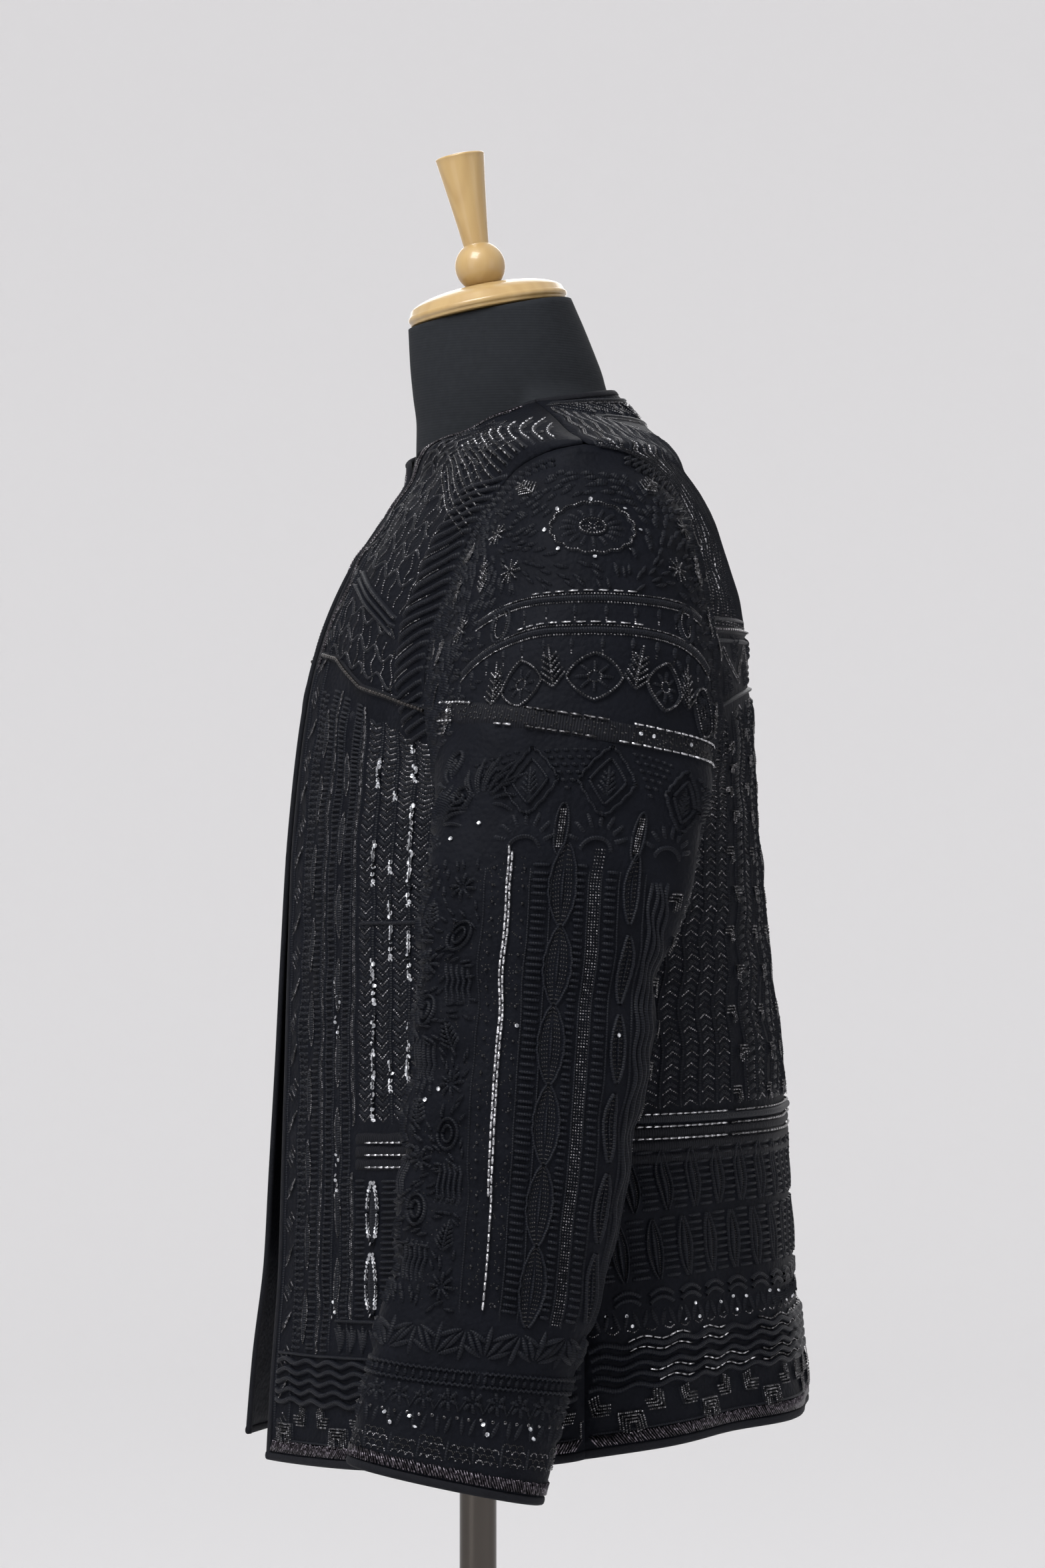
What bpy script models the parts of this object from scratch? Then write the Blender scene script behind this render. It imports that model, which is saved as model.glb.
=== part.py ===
"""Open-fronted embroidered evening jacket without a collar, hung on a limbless dress form.

Metres, +Z up. The jacket's front faces -Y and its left side is +X. The origin is the centre of the
stand's underside, on the axis of the pole. The cloth is a thin wall: its outer points come from rings
round the body and round the sleeves, and its inner points lie one wall thickness inside them.
"""

import math

import bmesh
import bpy
import numpy as np


# Driving dimensions of the cloth
WALL = 0.0018             # embroidered cloth with its backing
RIB = 0.0011              # how far the corded ribs stand out of the cloth
SEAM = 0.0003             # clearance between two pieces that are sewn together
LAID_ON = 0.0006          # clearance under a cord or band that follows a panel's facets
BINDING_WIDTH = 0.0045    # plain binding on every free edge
BINDING_PROUD = 0.0003    # how much thicker the folded binding is than the wall, on each side
WELT_HEIGHT = 0.0017      # waist welts and yoke cords at their crests
TRIM_FOOT = 0.0006        # thickness of welts, cords and bands at their edges
FRONT_ACROSS = 14         # faces across a front
BACK_ACROSS = 12          # faces across half of the back
ROWS_BELOW = 10           # faces from the hem up to the underarm
ROWS_ARMHOLE = 12         # faces along each half of an armhole; a sleeve has twice as many round it
ROWS_SHOULDER = 4         # faces of the back along the shoulder seam
CAP_ROWS = 8              # faces of a sleeve from the armhole down to the upper arm
ARM_ROWS = 10             # faces of a sleeve from the upper arm down to the cuff
FINE = 6                  # points of a pattern for each face of its panel
FRONT_EASE = (1.8, 1.0)   # how the rows of a front leave its edge, at the hem and at the top
BACK_EASE = (3.0, 1.6)    # the same from the middle of the back

# Driving heights of the jacket
CENTRE_BACK_HEM = 0.8105
SIDE_HEM = 0.7960
FRONT_HEM = 0.7812
UNDERARM = 1.1650
SHOULDER_TIP = 1.3835
NECK_POINT = 1.4240
CENTRE_BACK_NECK = 1.4376


def table(names, *rows):
    """Return a short table as named columns."""
    return {name: np.array(values, float) for name, values in zip(names.split(), zip(*rows))}


# Rings round the body: half width, where the side lies, and how far the ring reaches at the middle of
# the front and of the back. The powers say how pointed (below 2) or square (above 2) each half is.
BODY = table(
    "z half side_y front_y back_y front_power back_power",
    (0.770, 0.2365, 0.031, -0.1590, 0.2050, 1.60, 2.15),
    (0.828, 0.2330, 0.031, -0.1510, 0.2000, 1.60, 2.15),
    (0.893, 0.2290, 0.032, -0.1384, 0.1920, 1.60, 2.15),
    (0.941, 0.2255, 0.032, -0.1346, 0.1888, 1.60, 2.15),
    (1.015, 0.2200, 0.033, -0.1286, 0.1850, 1.60, 2.15),
    (1.085, 0.2130, 0.034, -0.1240, 0.1765, 1.60, 2.15),
    (1.163, 0.2060, 0.035, -0.1185, 0.1697, 1.60, 2.15),
    (1.246, 0.1990, 0.035, -0.1082, 0.1650, 1.65, 2.15),
    (1.285, 0.1970, 0.035, -0.0980, 0.1616, 1.65, 2.10),
    (1.320, 0.1970, 0.035, -0.0827, 0.1530, 1.70, 2.05),
    (1.348, 0.1985, 0.036, -0.0645, 0.1425, 1.75, 2.00),
    (1.362, 0.1995, 0.036, -0.0545, 0.1358, 1.80, 2.00),
    (1.3835, 0.2000, 0.036, -0.0428, 0.1210, 1.80, 2.00),
    (1.3943, 0.1653, 0.033, -0.0425, 0.1165, 1.80, 2.00),
    (1.4060, 0.1278, 0.031, -0.0215, 0.1090, 1.80, 2.00),
    (1.4168, 0.0931, 0.028, -0.0020, 0.1010, 1.80, 2.00),
    (1.4240, 0.0700, 0.026, 0.0100, 0.0955, 1.90, 2.00),
    (1.4310, 0.0655, 0.026, 0.0110, 0.0905, 2.00, 2.00),
    (1.4376, 0.0620, 0.026, 0.0120, 0.0840, 2.00, 2.00),
)

# The free front edge and the neckline above it: half of the opening at each height
EDGE = table(
    "z gap",
    (0.7812, 0.0745), (0.828, 0.0670), (0.893, 0.0500), (0.941, 0.0440), (1.015, 0.0330), (1.085, 0.0240),
    (1.163, 0.0165), (1.246, 0.0172), (1.300, 0.0180), (1.330, 0.0165), (1.348, 0.0130), (1.362, 0.0108),
    (1.376, 0.0108), (1.384, 0.0132), (1.390, 0.0190), (1.3955, 0.0290), (1.401, 0.0430), (1.406, 0.0550),
    (1.4168, 0.0660), (1.4240, 0.0700),
)

# The armhole seam seen from the side: down the front from the shoulder tip, then up the back
ARMHOLE_FRONT = table(
    "y z",
    (0.0360, 1.3835), (0.0160, 1.3795), (0.0013, 1.3720), (-0.0127, 1.3535), (-0.0255, 1.3310),
    (-0.0346, 1.3045), (-0.0430, 1.2810), (-0.0490, 1.2610), (-0.0511, 1.2435), (-0.0475, 1.2200),
    (-0.0370, 1.1970), (-0.0180, 1.1780), (0.0080, 1.1675), (0.0350, 1.1650),
)
ARMHOLE_BACK = table(
    "y z",
    (0.0360, 1.3835), (0.0620, 1.3800), (0.0871, 1.3690), (0.1030, 1.3460), (0.1125, 1.3115),
    (0.1155, 1.2740), (0.1185, 1.2320), (0.1185, 1.2040), (0.1090, 1.1860), (0.0880, 1.1740),
    (0.0620, 1.1670), (0.0350, 1.1650),
)

# How a sleeve leaves the armhole, round from the shoulder tip over the front: the fold between body and
# sleeve, and how far the cloth runs on before it turns down
SLEEVE_SEAM = table(
    "share fold start_pull end_pull",
    (0.00, 60, 0.062, 0.115), (0.06, 48, 0.058, 0.110), (0.12, 40, 0.052, 0.100), (0.25, 45, 0.040, 0.060),
    (0.38, 100, 0.018, 0.028), (0.50, 140, 0.014, 0.014), (0.62, 100, 0.018, 0.028), (0.75, 45, 0.040, 0.060),
    (0.88, 40, 0.052, 0.100), (0.94, 48, 0.058, 0.110), (1.00, 60, 0.062, 0.115),
)

# Rings round the hanging sleeve, from the upper arm to the cuff; the tilt lowers the back of a ring
SLEEVE = table(
    "z centre_x centre_y half_x half_y tilt",
    (1.130, 0.2475, 0.0155, 0.0355, 0.0775, 0.04),
    (1.074, 0.2535, 0.0030, 0.0345, 0.0710, 0.08),
    (0.984, 0.2630, -0.0105, 0.0340, 0.0655, 0.12),
    (0.910, 0.2700, -0.0240, 0.0340, 0.0595, 0.16),
    (0.836, 0.2770, -0.0440, 0.0350, 0.0560, 0.18),
    (0.7886, 0.2820, -0.0558, 0.0360, 0.0548, 0.22),
)
SLEEVE_POWER = 2.2
CUFF_Z = SLEEVE["z"][-1]

# Soft folds of the body cloth: the angle round from the middle of the front, in degrees, their width,
# how far they stand out (or in, below 0) at the hem, and the height at which they have died away
BODY_FOLDS = table(
    "angle width depth top",
    (48, 11, 0.0045, 1.06), (71, 9, -0.0040, 0.98), (104, 10, 0.0050, 1.12), (122, 9, -0.0060, 1.05),
    (140, 10, 0.0055, 1.16), (158, 8, -0.0030, 0.96),
)

# Soft creases of the sleeve: where they lie round the sleeve and along it, their slope, half their
# length round the sleeve, half their width, and their depth
SLEEVE_CREASES = table(
    "share z slope reach width depth",
    (0.20, 1.065, 0.25, 0.15, 0.014, -0.0040), (0.26, 1.010, -0.20, 0.13, 0.012, -0.0045),
    (0.17, 0.955, 0.30, 0.12, 0.012, -0.0035), (0.24, 0.900, -0.15, 0.11, 0.011, -0.0030),
    (0.72, 1.085, -0.35, 0.16, 0.018, -0.0050), (0.78, 0.990, 0.30, 0.12, 0.014, -0.0035),
    (0.55, 1.040, 0.20, 0.14, 0.013, -0.0030),
)
SLEEVE_ROUND = 0.36       # length round the sleeve that the slopes are measured on
CREASE_TOP, CREASE_LOW, CREASE_FADE = 1.13, 0.80, 0.04

# Waist welts: height of the lowest at the front, at the side and at the middle of the back
WELT_LINE = table("angle height", (0, 0.953), (90, 0.962), (180, 0.968))
WELT_SPACING = 0.0075
WELTS = 3
WELT_FROM = 5             # first column of a front that the welts reach

# Yoke cords: height at each share of the panel, counted from the front edge or the middle of the back
YOKE_FRONT = table("across height", (0.0, 1.268), (0.25, 1.262), (0.50, 1.243), (1.0, 1.226))
YOKE_BACK = table("across height", (0.0, 1.282), (1.0, 1.276))
YOKE_CORD_WIDTH = 0.0050

# Sleeve bands, from the front of each sleeve over its outside to its back
BAND_COLUMNS = range(6, -7, -1)
BAND_ENDS = (1.2160, 1.1950)    # height of the band's lower edge at its front end and at its back end
BAND_WIDTH = 0.0135
BAND_CLEAR = 0.0009             # the sleeve head's facets bulge between its columns
BAND_HEIGHT = 0.0012

# Dress form: rings round the torso, then the neck
TORSO = table(
    "z half side_y front_y back_y front_power back_power",
    (0.8600, 0.1720, 0.030, -0.0850, 0.1430, 2.00, 2.20),
    (0.8660, 0.1760, 0.030, -0.0890, 0.1470, 2.00, 2.20),
    (0.9300, 0.1740, 0.030, -0.0870, 0.1450, 2.00, 2.20),
    (1.0000, 0.1600, 0.030, -0.0790, 0.1260, 2.00, 2.20),
    (1.0600, 0.1520, 0.030, -0.0790, 0.1170, 2.00, 2.20),
    (1.1400, 0.1620, 0.032, -0.0900, 0.1310, 1.85, 2.15),
    (1.2200, 0.1710, 0.034, -0.0985, 0.1450, 1.70, 2.10),
    (1.2800, 0.1740, 0.034, -0.0900, 0.1490, 1.65, 2.05),
    (1.3200, 0.1760, 0.035, -0.0750, 0.1440, 1.68, 1.98),
    (1.3480, 0.1775, 0.036, -0.0585, 0.1350, 1.72, 1.98),
    (1.3620, 0.1778, 0.036, -0.0490, 0.1285, 1.76, 1.98),
    (1.3809, 0.1750, 0.036, -0.0380, 0.1150, 1.78, 1.98),
    (1.3870, 0.1715, 0.034, -0.0360, 0.1135, 1.78, 1.98),
    (1.3917, 0.1605, 0.033, -0.0315, 0.1120, 1.78, 1.98),
    (1.4034, 0.1245, 0.031, -0.0130, 0.1050, 1.78, 1.98),
    (1.4142, 0.0905, 0.028, 0.0060, 0.0965, 1.78, 1.98),
    (1.4214, 0.0640, 0.026, 0.0145, 0.0900, 1.85, 2.00),
    (1.4300, 0.0540, 0.026, 0.0140, 0.0810, 2.00, 2.00),
    (1.4376, 0.0460, 0.024, 0.0140, 0.0720, 2.00, 2.00),
)
NECK = table(
    "z half front_y back_y tilt",
    (1.3700, 0.0515, -0.0360, 0.0850, 0.00),
    (1.3960, 0.0520, -0.0390, 0.0840, 0.00),
    (1.4150, 0.0525, -0.0388, 0.0830, 0.02),
    (1.4376, 0.0530, -0.0411, 0.0795, 0.06),
    (1.4600, 0.0520, -0.0430, 0.0702, 0.12),
    (1.4855, 0.0507, -0.0442, 0.0576, 0.188),
)
FORM_CENTRE_Y = 0.029
FORM_ROUND = 28
FORM_WIDE, FORM_DEEP = 0.180, 0.125       # the torso's usual half width and depth, which space its points
FORM_HEIGHTS = (
    0.860, 0.866, 0.910, 0.965, 1.020, 1.075, 1.130, 1.180, 1.230, 1.275, 1.312, 1.342,
    1.362, 1.377, 1.387, 1.3945, 1.402, 1.4095, 1.417, 1.424, 1.434, 1.447, 1.465, 1.4855)
FORM_FILLET = 20          # sharpness of the fillet between neck and shoulders

# Turned pieces and stand
CAP_RADIUS = 0.0505
CAP_HEIGHT = 0.0180
CAP_RIM = 0.0065
CAP_EDGE = 0.0025         # radius of the cap's rounded edge
CAP_DOME = 2.2            # above 2 the dome is flatter in its middle
FINIAL_BALL = 0.0158
FINIAL_FOOT = 0.0105      # radius of the flat on which the ball stands
FINIAL_POST = (0.0080, 0.0155)
FINIAL_POST_LENGTH = 0.0570
FINIAL_EDGE = 0.0012      # rounding of the post's top
POLE_RADIUS = 0.0115
STAND_RADIUS = 0.190
STAND_THICKNESS = 0.010
STAND_ROUND = 0.004       # rounding of the base's upper edge
HUB_RADIUS = 0.024
HUB_HEIGHT = 0.045
HUB_EDGE = 0.002          # chamfer at the hub's top
HUB_FLARE = 0.006         # foot of the hub
SOCKET_DEPTH = 0.030
PLATE_RADIUS = 0.060
PLATE_THICKNESS = 0.008
PLATE_EDGE = 0.001        # chamfer of the plate


def smooth(xs, ys, x):
    """Interpolate a column with a monotone cubic, so that it never overshoots its rows."""
    x = np.clip(np.asarray(x, float), xs[0], xs[-1])
    step = np.diff(xs)
    slope = np.diff(ys) / step
    tangent = np.zeros(len(xs))
    tangent[0], tangent[-1] = slope[0], slope[-1]
    for i in range(1, len(xs) - 1):
        if slope[i - 1] * slope[i] > 0:
            w0, w1 = 2 * step[i] + step[i - 1], step[i] + 2 * step[i - 1]
            tangent[i] = (w0 + w1) / (w0 / slope[i - 1] + w1 / slope[i])
    i = np.clip(np.searchsorted(xs, x, side="right") - 1, 0, len(step) - 1)
    t = (x - xs[i]) / step[i]
    h = step[i]
    return ((2 * t**3 - 3 * t**2 + 1) * ys[i] + (t**3 - 2 * t**2 + t) * h * tangent[i]
            + (3 * t**2 - 2 * t**3) * ys[i + 1] + (t**3 - t**2) * h * tangent[i + 1])


def body_ring(z):
    """Return every column of the body table at height z."""
    rising = np.argsort(BODY["z"])
    return {name: smooth(BODY["z"][rising], BODY[name][rising], z) for name in BODY if name != "z"}


def body_point(z, angle):
    """Point of the jacket's outer side: angle 0 is the middle of the front, pi the middle of the back."""
    z, angle = np.broadcast_arrays(np.asarray(z, float), np.asarray(angle, float))
    ring = body_ring(z)
    front = angle < math.pi / 2
    power = np.where(front, ring["front_power"], ring["back_power"])
    reach = np.where(front, ring["front_y"], ring["back_y"]) - ring["side_y"]
    x = ring["half"] * np.sign(np.sin(angle)) * np.abs(np.sin(angle)) ** (2 / power)
    y = ring["side_y"] + reach * np.abs(np.cos(angle)) ** (2 / power)
    out = np.zeros(z.shape)
    for fold_angle, width, depth, top in zip(*(BODY_FOLDS[n] for n in ("angle", "width", "depth", "top"))):
        fade = np.clip((top - z) / (top - SIDE_HEM), 0, 1) ** 1.5
        out = out + depth * fade * np.exp(-((np.degrees(angle) - fold_angle) / width) ** 2)
    away = np.hypot(x, y - ring["side_y"])
    return np.stack([x + out * x / away, y + out * (y - ring["side_y"]) / away, z], -1)


def body_normal(z, angle):
    """Outward direction of the jacket's surface."""
    turn, rise = 0.004, 0.0006
    around = body_point(z, angle + turn) - body_point(z, angle - turn)
    up = body_point(z + rise, angle) - body_point(z - rise, angle)
    normal = np.cross(around, up)
    return normal / np.linalg.norm(normal, axis=-1, keepdims=True)


def angle_at_x(z, x):
    """Angle of the front half's point that lies x from the middle."""
    ring = body_ring(z)
    return np.arcsin(np.clip(x / ring["half"], 0, 1) ** (ring["front_power"] / 2))


def angle_at_y(z, y):
    """Angle of the ring's point at the given y."""
    ring = body_ring(z)
    front = y < ring["side_y"]
    power = np.where(front, ring["front_power"], ring["back_power"])
    reach = np.where(front, ring["front_y"], ring["back_y"]) - ring["side_y"]
    turn = np.arccos(np.clip(np.abs((y - ring["side_y"]) / reach), 0, 1) ** (power / 2))
    return np.where(front, turn, math.pi - turn)


def spread(z, angle, count):
    """Resample a line on the body, given by heights and angles, to evenly spaced points."""
    fine = np.linspace(0, 1, 400)
    own = np.linspace(0, 1, len(z))
    z, angle = np.interp(fine, own, z), np.interp(fine, own, angle)
    steps = np.linalg.norm(np.diff(body_point(z, angle), axis=0), axis=1)
    run = np.concatenate([[0], np.cumsum(steps)])
    want = np.linspace(0, run[-1], count)
    return np.interp(want, run, z), np.interp(want, run, angle)


def armhole_line(points):
    """Heights and angles along one side of the armhole, from the underarm up to the shoulder tip."""
    own = np.concatenate([[0], np.cumsum(np.hypot(np.diff(points["y"]), np.diff(points["z"])))])
    fine = np.linspace(0, own[-1], 300)
    y, z = smooth_line(own, points["y"], fine), smooth_line(own, points["z"], fine)
    return z[::-1], angle_at_y(z, y)[::-1]


def smooth_line(run, values, x):
    """Catmull-Rom curve through values at the given run, for lines that turn back."""
    tangent = np.gradient(values, run)
    i = np.clip(np.searchsorted(run, x, side="right") - 1, 0, len(run) - 2)
    h = run[i + 1] - run[i]
    t = (x - run[i]) / h
    return ((2 * t**3 - 3 * t**2 + 1) * values[i] + (t**3 - 2 * t**2 + t) * h * tangent[i]
            + (3 * t**2 - 2 * t**3) * values[i + 1] + (t**3 - t**2) * h * tangent[i + 1])


def boundary(*sections):
    """Join lines, each given with its number of panel rows, into one side of a pattern."""
    heights, angles = [], []
    for line, rows in sections:
        z, angle = spread(*line, rows * FINE + 1)
        heights.append(z if not heights else z[1:])
        angles.append(angle if not angles else angle[1:])
    return np.concatenate(heights), np.concatenate(angles)


def straight(z0, z1, angle):
    """A line up the body at one angle."""
    return np.array([z0, z1]), np.array([angle, angle])


def front_pattern():
    """Points and normals of a left front, from its free edge (first column) to its side (last)."""
    z_low = np.linspace(FRONT_HEM, UNDERARM, 60)
    z_high = np.linspace(UNDERARM, NECK_POINT, 160)
    gap_low, gap_high = (smooth(EDGE["z"], EDGE["gap"], z) for z in (z_low, z_high))
    edge = boundary(((z_low, angle_at_x(z_low, gap_low)), ROWS_BELOW),
                    ((z_high, angle_at_x(z_high, gap_high)), ROWS_ARMHOLE))
    side = boundary((straight(SIDE_HEM, UNDERARM, math.pi / 2), ROWS_BELOW),
                    (armhole_line(ARMHOLE_FRONT), ROWS_ARMHOLE))
    return pattern_between(edge, side, FRONT_ACROSS, FRONT_EASE)


def back_pattern():
    """Points and normals of the left half of the back, from its middle (first column) to its side."""
    middle = boundary((straight(CENTRE_BACK_HEM, UNDERARM, math.pi), ROWS_BELOW),
                      (straight(UNDERARM, CENTRE_BACK_NECK, math.pi), ROWS_ARMHOLE + ROWS_SHOULDER))
    side = boundary((straight(SIDE_HEM, UNDERARM, math.pi / 2), ROWS_BELOW),
                    (armhole_line(ARMHOLE_BACK), ROWS_ARMHOLE),
                    (straight(SHOULDER_TIP, NECK_POINT, math.pi / 2), ROWS_SHOULDER))
    return pattern_between(middle, side, BACK_ACROSS, BACK_EASE)


def pattern_between(first, last, across, ease):
    """Draw rows between two boundaries and space their points evenly.

    An ease of 1 gives straight rows; above 1 they start level, as at the middle of the back.
    It is given for the lowest and for the highest row.
    """
    points, normals = [], []
    share = np.linspace(0, 1, 60)
    for z0, a0, z1, a1, power in zip(*first, *last, np.linspace(*ease, len(first[0]))):
        z, angle = spread(z0 + (z1 - z0) * share**power, a0 + (a1 - a0) * share, across * FINE + 1)
        points.append(body_point(z, angle))
        normals.append(body_normal(z, angle))
    return np.array(points), np.array(normals)


def on_pattern(pattern, across, up):
    """Point and normal of a pattern at shares across and up it, each from 0 to 1."""
    result = []
    for grid in pattern:
        rows, columns = grid.shape[0] - 1, grid.shape[1] - 1
        r, c = np.clip(up, 0, 1) * rows, np.clip(across, 0, 1) * columns
        i, j = np.minimum(r.astype(int), rows - 1), np.minimum(c.astype(int), columns - 1)
        s, t = (r - i)[..., None], (c - j)[..., None]
        result.append((1 - s) * (1 - t) * grid[i, j] + (1 - s) * t * grid[i, j + 1]
                      + s * (1 - t) * grid[i + 1, j] + s * t * grid[i + 1, j + 1])
    point, normal = result
    return point, normal / np.linalg.norm(normal, axis=-1, keepdims=True)


def share_at(pattern, distance, fixed, axis, from_end=False):
    """Share along a row (axis 0) or a column (axis 1) that lies a real distance in from its end."""
    fine = np.linspace(0, 1, 600)
    if from_end:
        fine = 1 - fine
    shares = []
    for other in np.atleast_1d(fixed):
        still = np.full(600, other)
        across, up = (fine, still) if axis == 0 else (still, fine)
        point, _ = on_pattern(pattern, across, up)
        run = np.concatenate([[0], np.cumsum(np.linalg.norm(np.diff(point, axis=0), axis=1))])
        shares.append(np.interp(distance, run, fine))
    return np.array(shares)


def mesh_object(name, material, vertices, faces, mirrored=False):
    """Make a named object from points and faces; a mirrored one is turned to the right side."""
    vertices = np.array(vertices, float)
    if mirrored:
        vertices = vertices * (-1, 1, 1)
        faces = [(face[0], *face[:0:-1]) for face in faces]
    mesh = bpy.data.meshes.new(name)
    mesh.from_pydata([tuple(v) for v in vertices], [], [tuple(int(i) for i in face) for face in faces])
    mesh.materials.append(material)
    mesh.shade_smooth()
    piece = bpy.data.objects.new(name, mesh)
    parts.objects.link(piece)
    return piece


def wall_faces(rows, columns, ring=False):
    """Faces of a wall whose outer grid comes first and its inner grid second, closed at its rims.

    The grids run by rows; in a ring the last column joins the first. Each face starts at the corner
    from which it is halved, so that both sides of the jacket are halved alike.
    """
    size = rows * columns
    faces = []
    last = columns if ring else columns - 1
    for i in range(rows - 1):
        for j in range(last):
            a, b = i * columns + j, i * columns + (j + 1) % columns
            c, d = b + columns, a + columns
            faces.append((a, b, c, d))
            faces.append((a + size, d + size, c + size, b + size))
    for i, flip in ((0, False), (rows - 1, True)):
        for j in range(last):
            a, b = i * columns + j, i * columns + (j + 1) % columns
            face = (a, a + size, b + size, b)
            faces.append(face[::-1] if flip else face)
    if not ring:
        for j, flip in ((0, True), (columns - 1, False)):
            for i in range(rows - 1):
                a, d = i * columns + j, (i + 1) * columns + j
                face = (a, a + size, d + size, d)
                faces.append(face[::-1] if flip else face)
    return [face[-1:] + face[:-1] for face in faces]


def wall(name, material, outer, inner, ring=False, mirrored=False):
    """Make a wall between an outer and an inner grid of points."""
    rows, columns = outer.shape[:2]
    faces = wall_faces(rows, columns, ring)
    vertices = np.concatenate([outer.reshape(-1, 3), inner.reshape(-1, 3)])
    return mesh_object(name, material, vertices, faces, mirrored)


def rib_heights(grid_rows, columns, first_row, last_row):
    """Every second line of points stands out as a corded rib, except near the rims and bands."""
    lift = np.zeros((grid_rows, columns))
    lift[first_row:last_row, 1:-1:2] = RIB
    return lift


def edge_share(pattern, distance, up):
    """Share along each row that lies a real distance square in from the first column."""
    aside, ahead, least_lean = 0.02, 0.01, 0.4
    near, _ = on_pattern(pattern, np.full(len(up), aside), up)
    edge, _ = on_pattern(pattern, np.zeros(len(up)), up)
    above, _ = on_pattern(pattern, np.zeros(len(up)), up + ahead)
    below, _ = on_pattern(pattern, np.zeros(len(up)), up - ahead)
    row, along = near - edge, above - below
    lean = np.linalg.norm(np.cross(row, along), axis=1)
    lean = lean / np.linalg.norm(row, axis=1) / np.linalg.norm(along, axis=1)
    return np.array([share_at(pattern, distance / max(s, least_lean), u, 0)[0]
                     for s, u in zip(lean, up)])


def panel_shares(pattern, rows, columns, edge_inset, top_inset, side_insets):
    """Shares across and up a panel inside its bindings and seams."""
    along = np.linspace(0, 1, columns)
    up = np.repeat(np.linspace(0, 1, rows)[:, None], columns, axis=1)
    up[0] = share_at(pattern, BINDING_WIDTH + SEAM, along, 1)
    up[-1] = share_at(pattern, top_inset, along, 1, from_end=True)
    own = np.linspace(0, 1, rows)
    left = edge_share(pattern, edge_inset, own)
    right = np.array([share_at(pattern, inset, r, 0, True)[0] for inset, r in zip(side_insets, own)])
    return left[:, None] + (right - left)[:, None] * along, up


def panel(pattern, rows, columns, insets, rib_rows, seams):
    """Outer points, inner points and normals of a panel.

    Along the side and shoulder seams both panels take the seam's own normal.
    """
    across, up = panel_shares(pattern, rows, columns, *insets)
    point, normal = on_pattern(pattern, across, up)
    for seam in seams:
        normal[seam] = body_normal(point[seam][:, 2], math.pi / 2)
    outer = point + normal * rib_heights(rows, columns, *rib_rows)[..., None]
    return {"outer": outer, "inner": point - normal * WALL, "normal": normal, "across": across, "up": up}


def front_panel():
    """A left front inside its bindings and seams."""
    rows = ROWS_BELOW + ROWS_ARMHOLE + 1
    side = [SEAM / 2] * (ROWS_BELOW + 1) + [0] * ROWS_ARMHOLE
    insets = (BINDING_WIDTH + 2 * SEAM, SEAM / 2, side)
    seams = [(slice(0, ROWS_BELOW + 1), -1), (-1, slice(None))]
    return panel(FRONT, rows, FRONT_ACROSS + 1, insets, (2, ROWS_BELOW - 1), seams)


def back_panel():
    """The left half of the back inside its bindings and seams."""
    rows = ROWS_BELOW + ROWS_ARMHOLE + ROWS_SHOULDER + 1
    side = [SEAM / 2] * (ROWS_BELOW + 1) + [0] * (ROWS_ARMHOLE - 1) + [SEAM] * (ROWS_SHOULDER + 1)
    seams = [(slice(0, ROWS_BELOW + 1), -1), (slice(-1 - ROWS_SHOULDER, None), -1)]
    return panel(BACK, rows, BACK_ACROSS + 1, (0, BINDING_WIDTH + SEAM, side), (2, ROWS_BELOW - 1), seams)


def fronts_and_back(cloth):
    """The two fronts, and the back in one piece whose halves share the points of the middle."""
    wall("front_left", cloth, LEFT_FRONT["outer"], LEFT_FRONT["inner"])
    wall("front_right", cloth, LEFT_FRONT["outer"], LEFT_FRONT["inner"], mirrored=True)
    wall("back", cloth, both_halves(HALF_BACK["outer"]), both_halves(HALF_BACK["inner"]))


def both_halves(grid):
    """Join a grid that starts at the middle of the back with its mirror image."""
    grid = grid.copy()
    grid[:, 0, 0] = 0
    return np.concatenate([grid[:, :0:-1], grid * (-1, 1, 1)], axis=1)


def binding(name, material, pattern, across, up, mirrored=False, whole_back=False):
    """A folded binding over a stretch of a pattern, a little thicker than the wall on both sides."""
    point, normal = on_pattern(pattern, across, up)
    outer, inner = point + normal * BINDING_PROUD, point - normal * (WALL + BINDING_PROUD)
    if whole_back:
        outer, inner = both_halves(outer), both_halves(inner)
    wall(name, material, outer, inner, mirrored=mirrored)


def edge_bindings(cloth):
    """Plain bindings: down the front edges, round the back neck, and under the hem."""
    up = np.concatenate([[0], LEFT_FRONT["up"][:, 0]])
    across = np.stack([np.zeros(len(up)), edge_share(FRONT, BINDING_WIDTH, up)], 1)
    up = np.repeat(up[:, None], 2, axis=1)
    for name, mirrored in (("front_binding_left", False), ("front_binding_right", True)):
        binding(name, cloth, FRONT, across, up, mirrored=mirrored)

    across = HALF_BACK["across"][-1]
    up = np.stack([share_at(BACK, BINDING_WIDTH, across, 1, True), np.ones(len(across))])
    binding("back_neck_binding", cloth, BACK, np.stack([across, across]), up, whole_back=True)

    for name, pattern, half, options in (
            ("hem_binding_left", FRONT, LEFT_FRONT, {}),
            ("hem_binding_right", FRONT, LEFT_FRONT, {"mirrored": True}),
            ("hem_binding_back", BACK, HALF_BACK, {"whole_back": True})):
        across = half["across"][0]
        up = np.stack([np.zeros(len(across)), share_at(pattern, BINDING_WIDTH, across, 1)])
        binding(name, cloth, pattern, np.stack([across, across]), up, **options)


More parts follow.
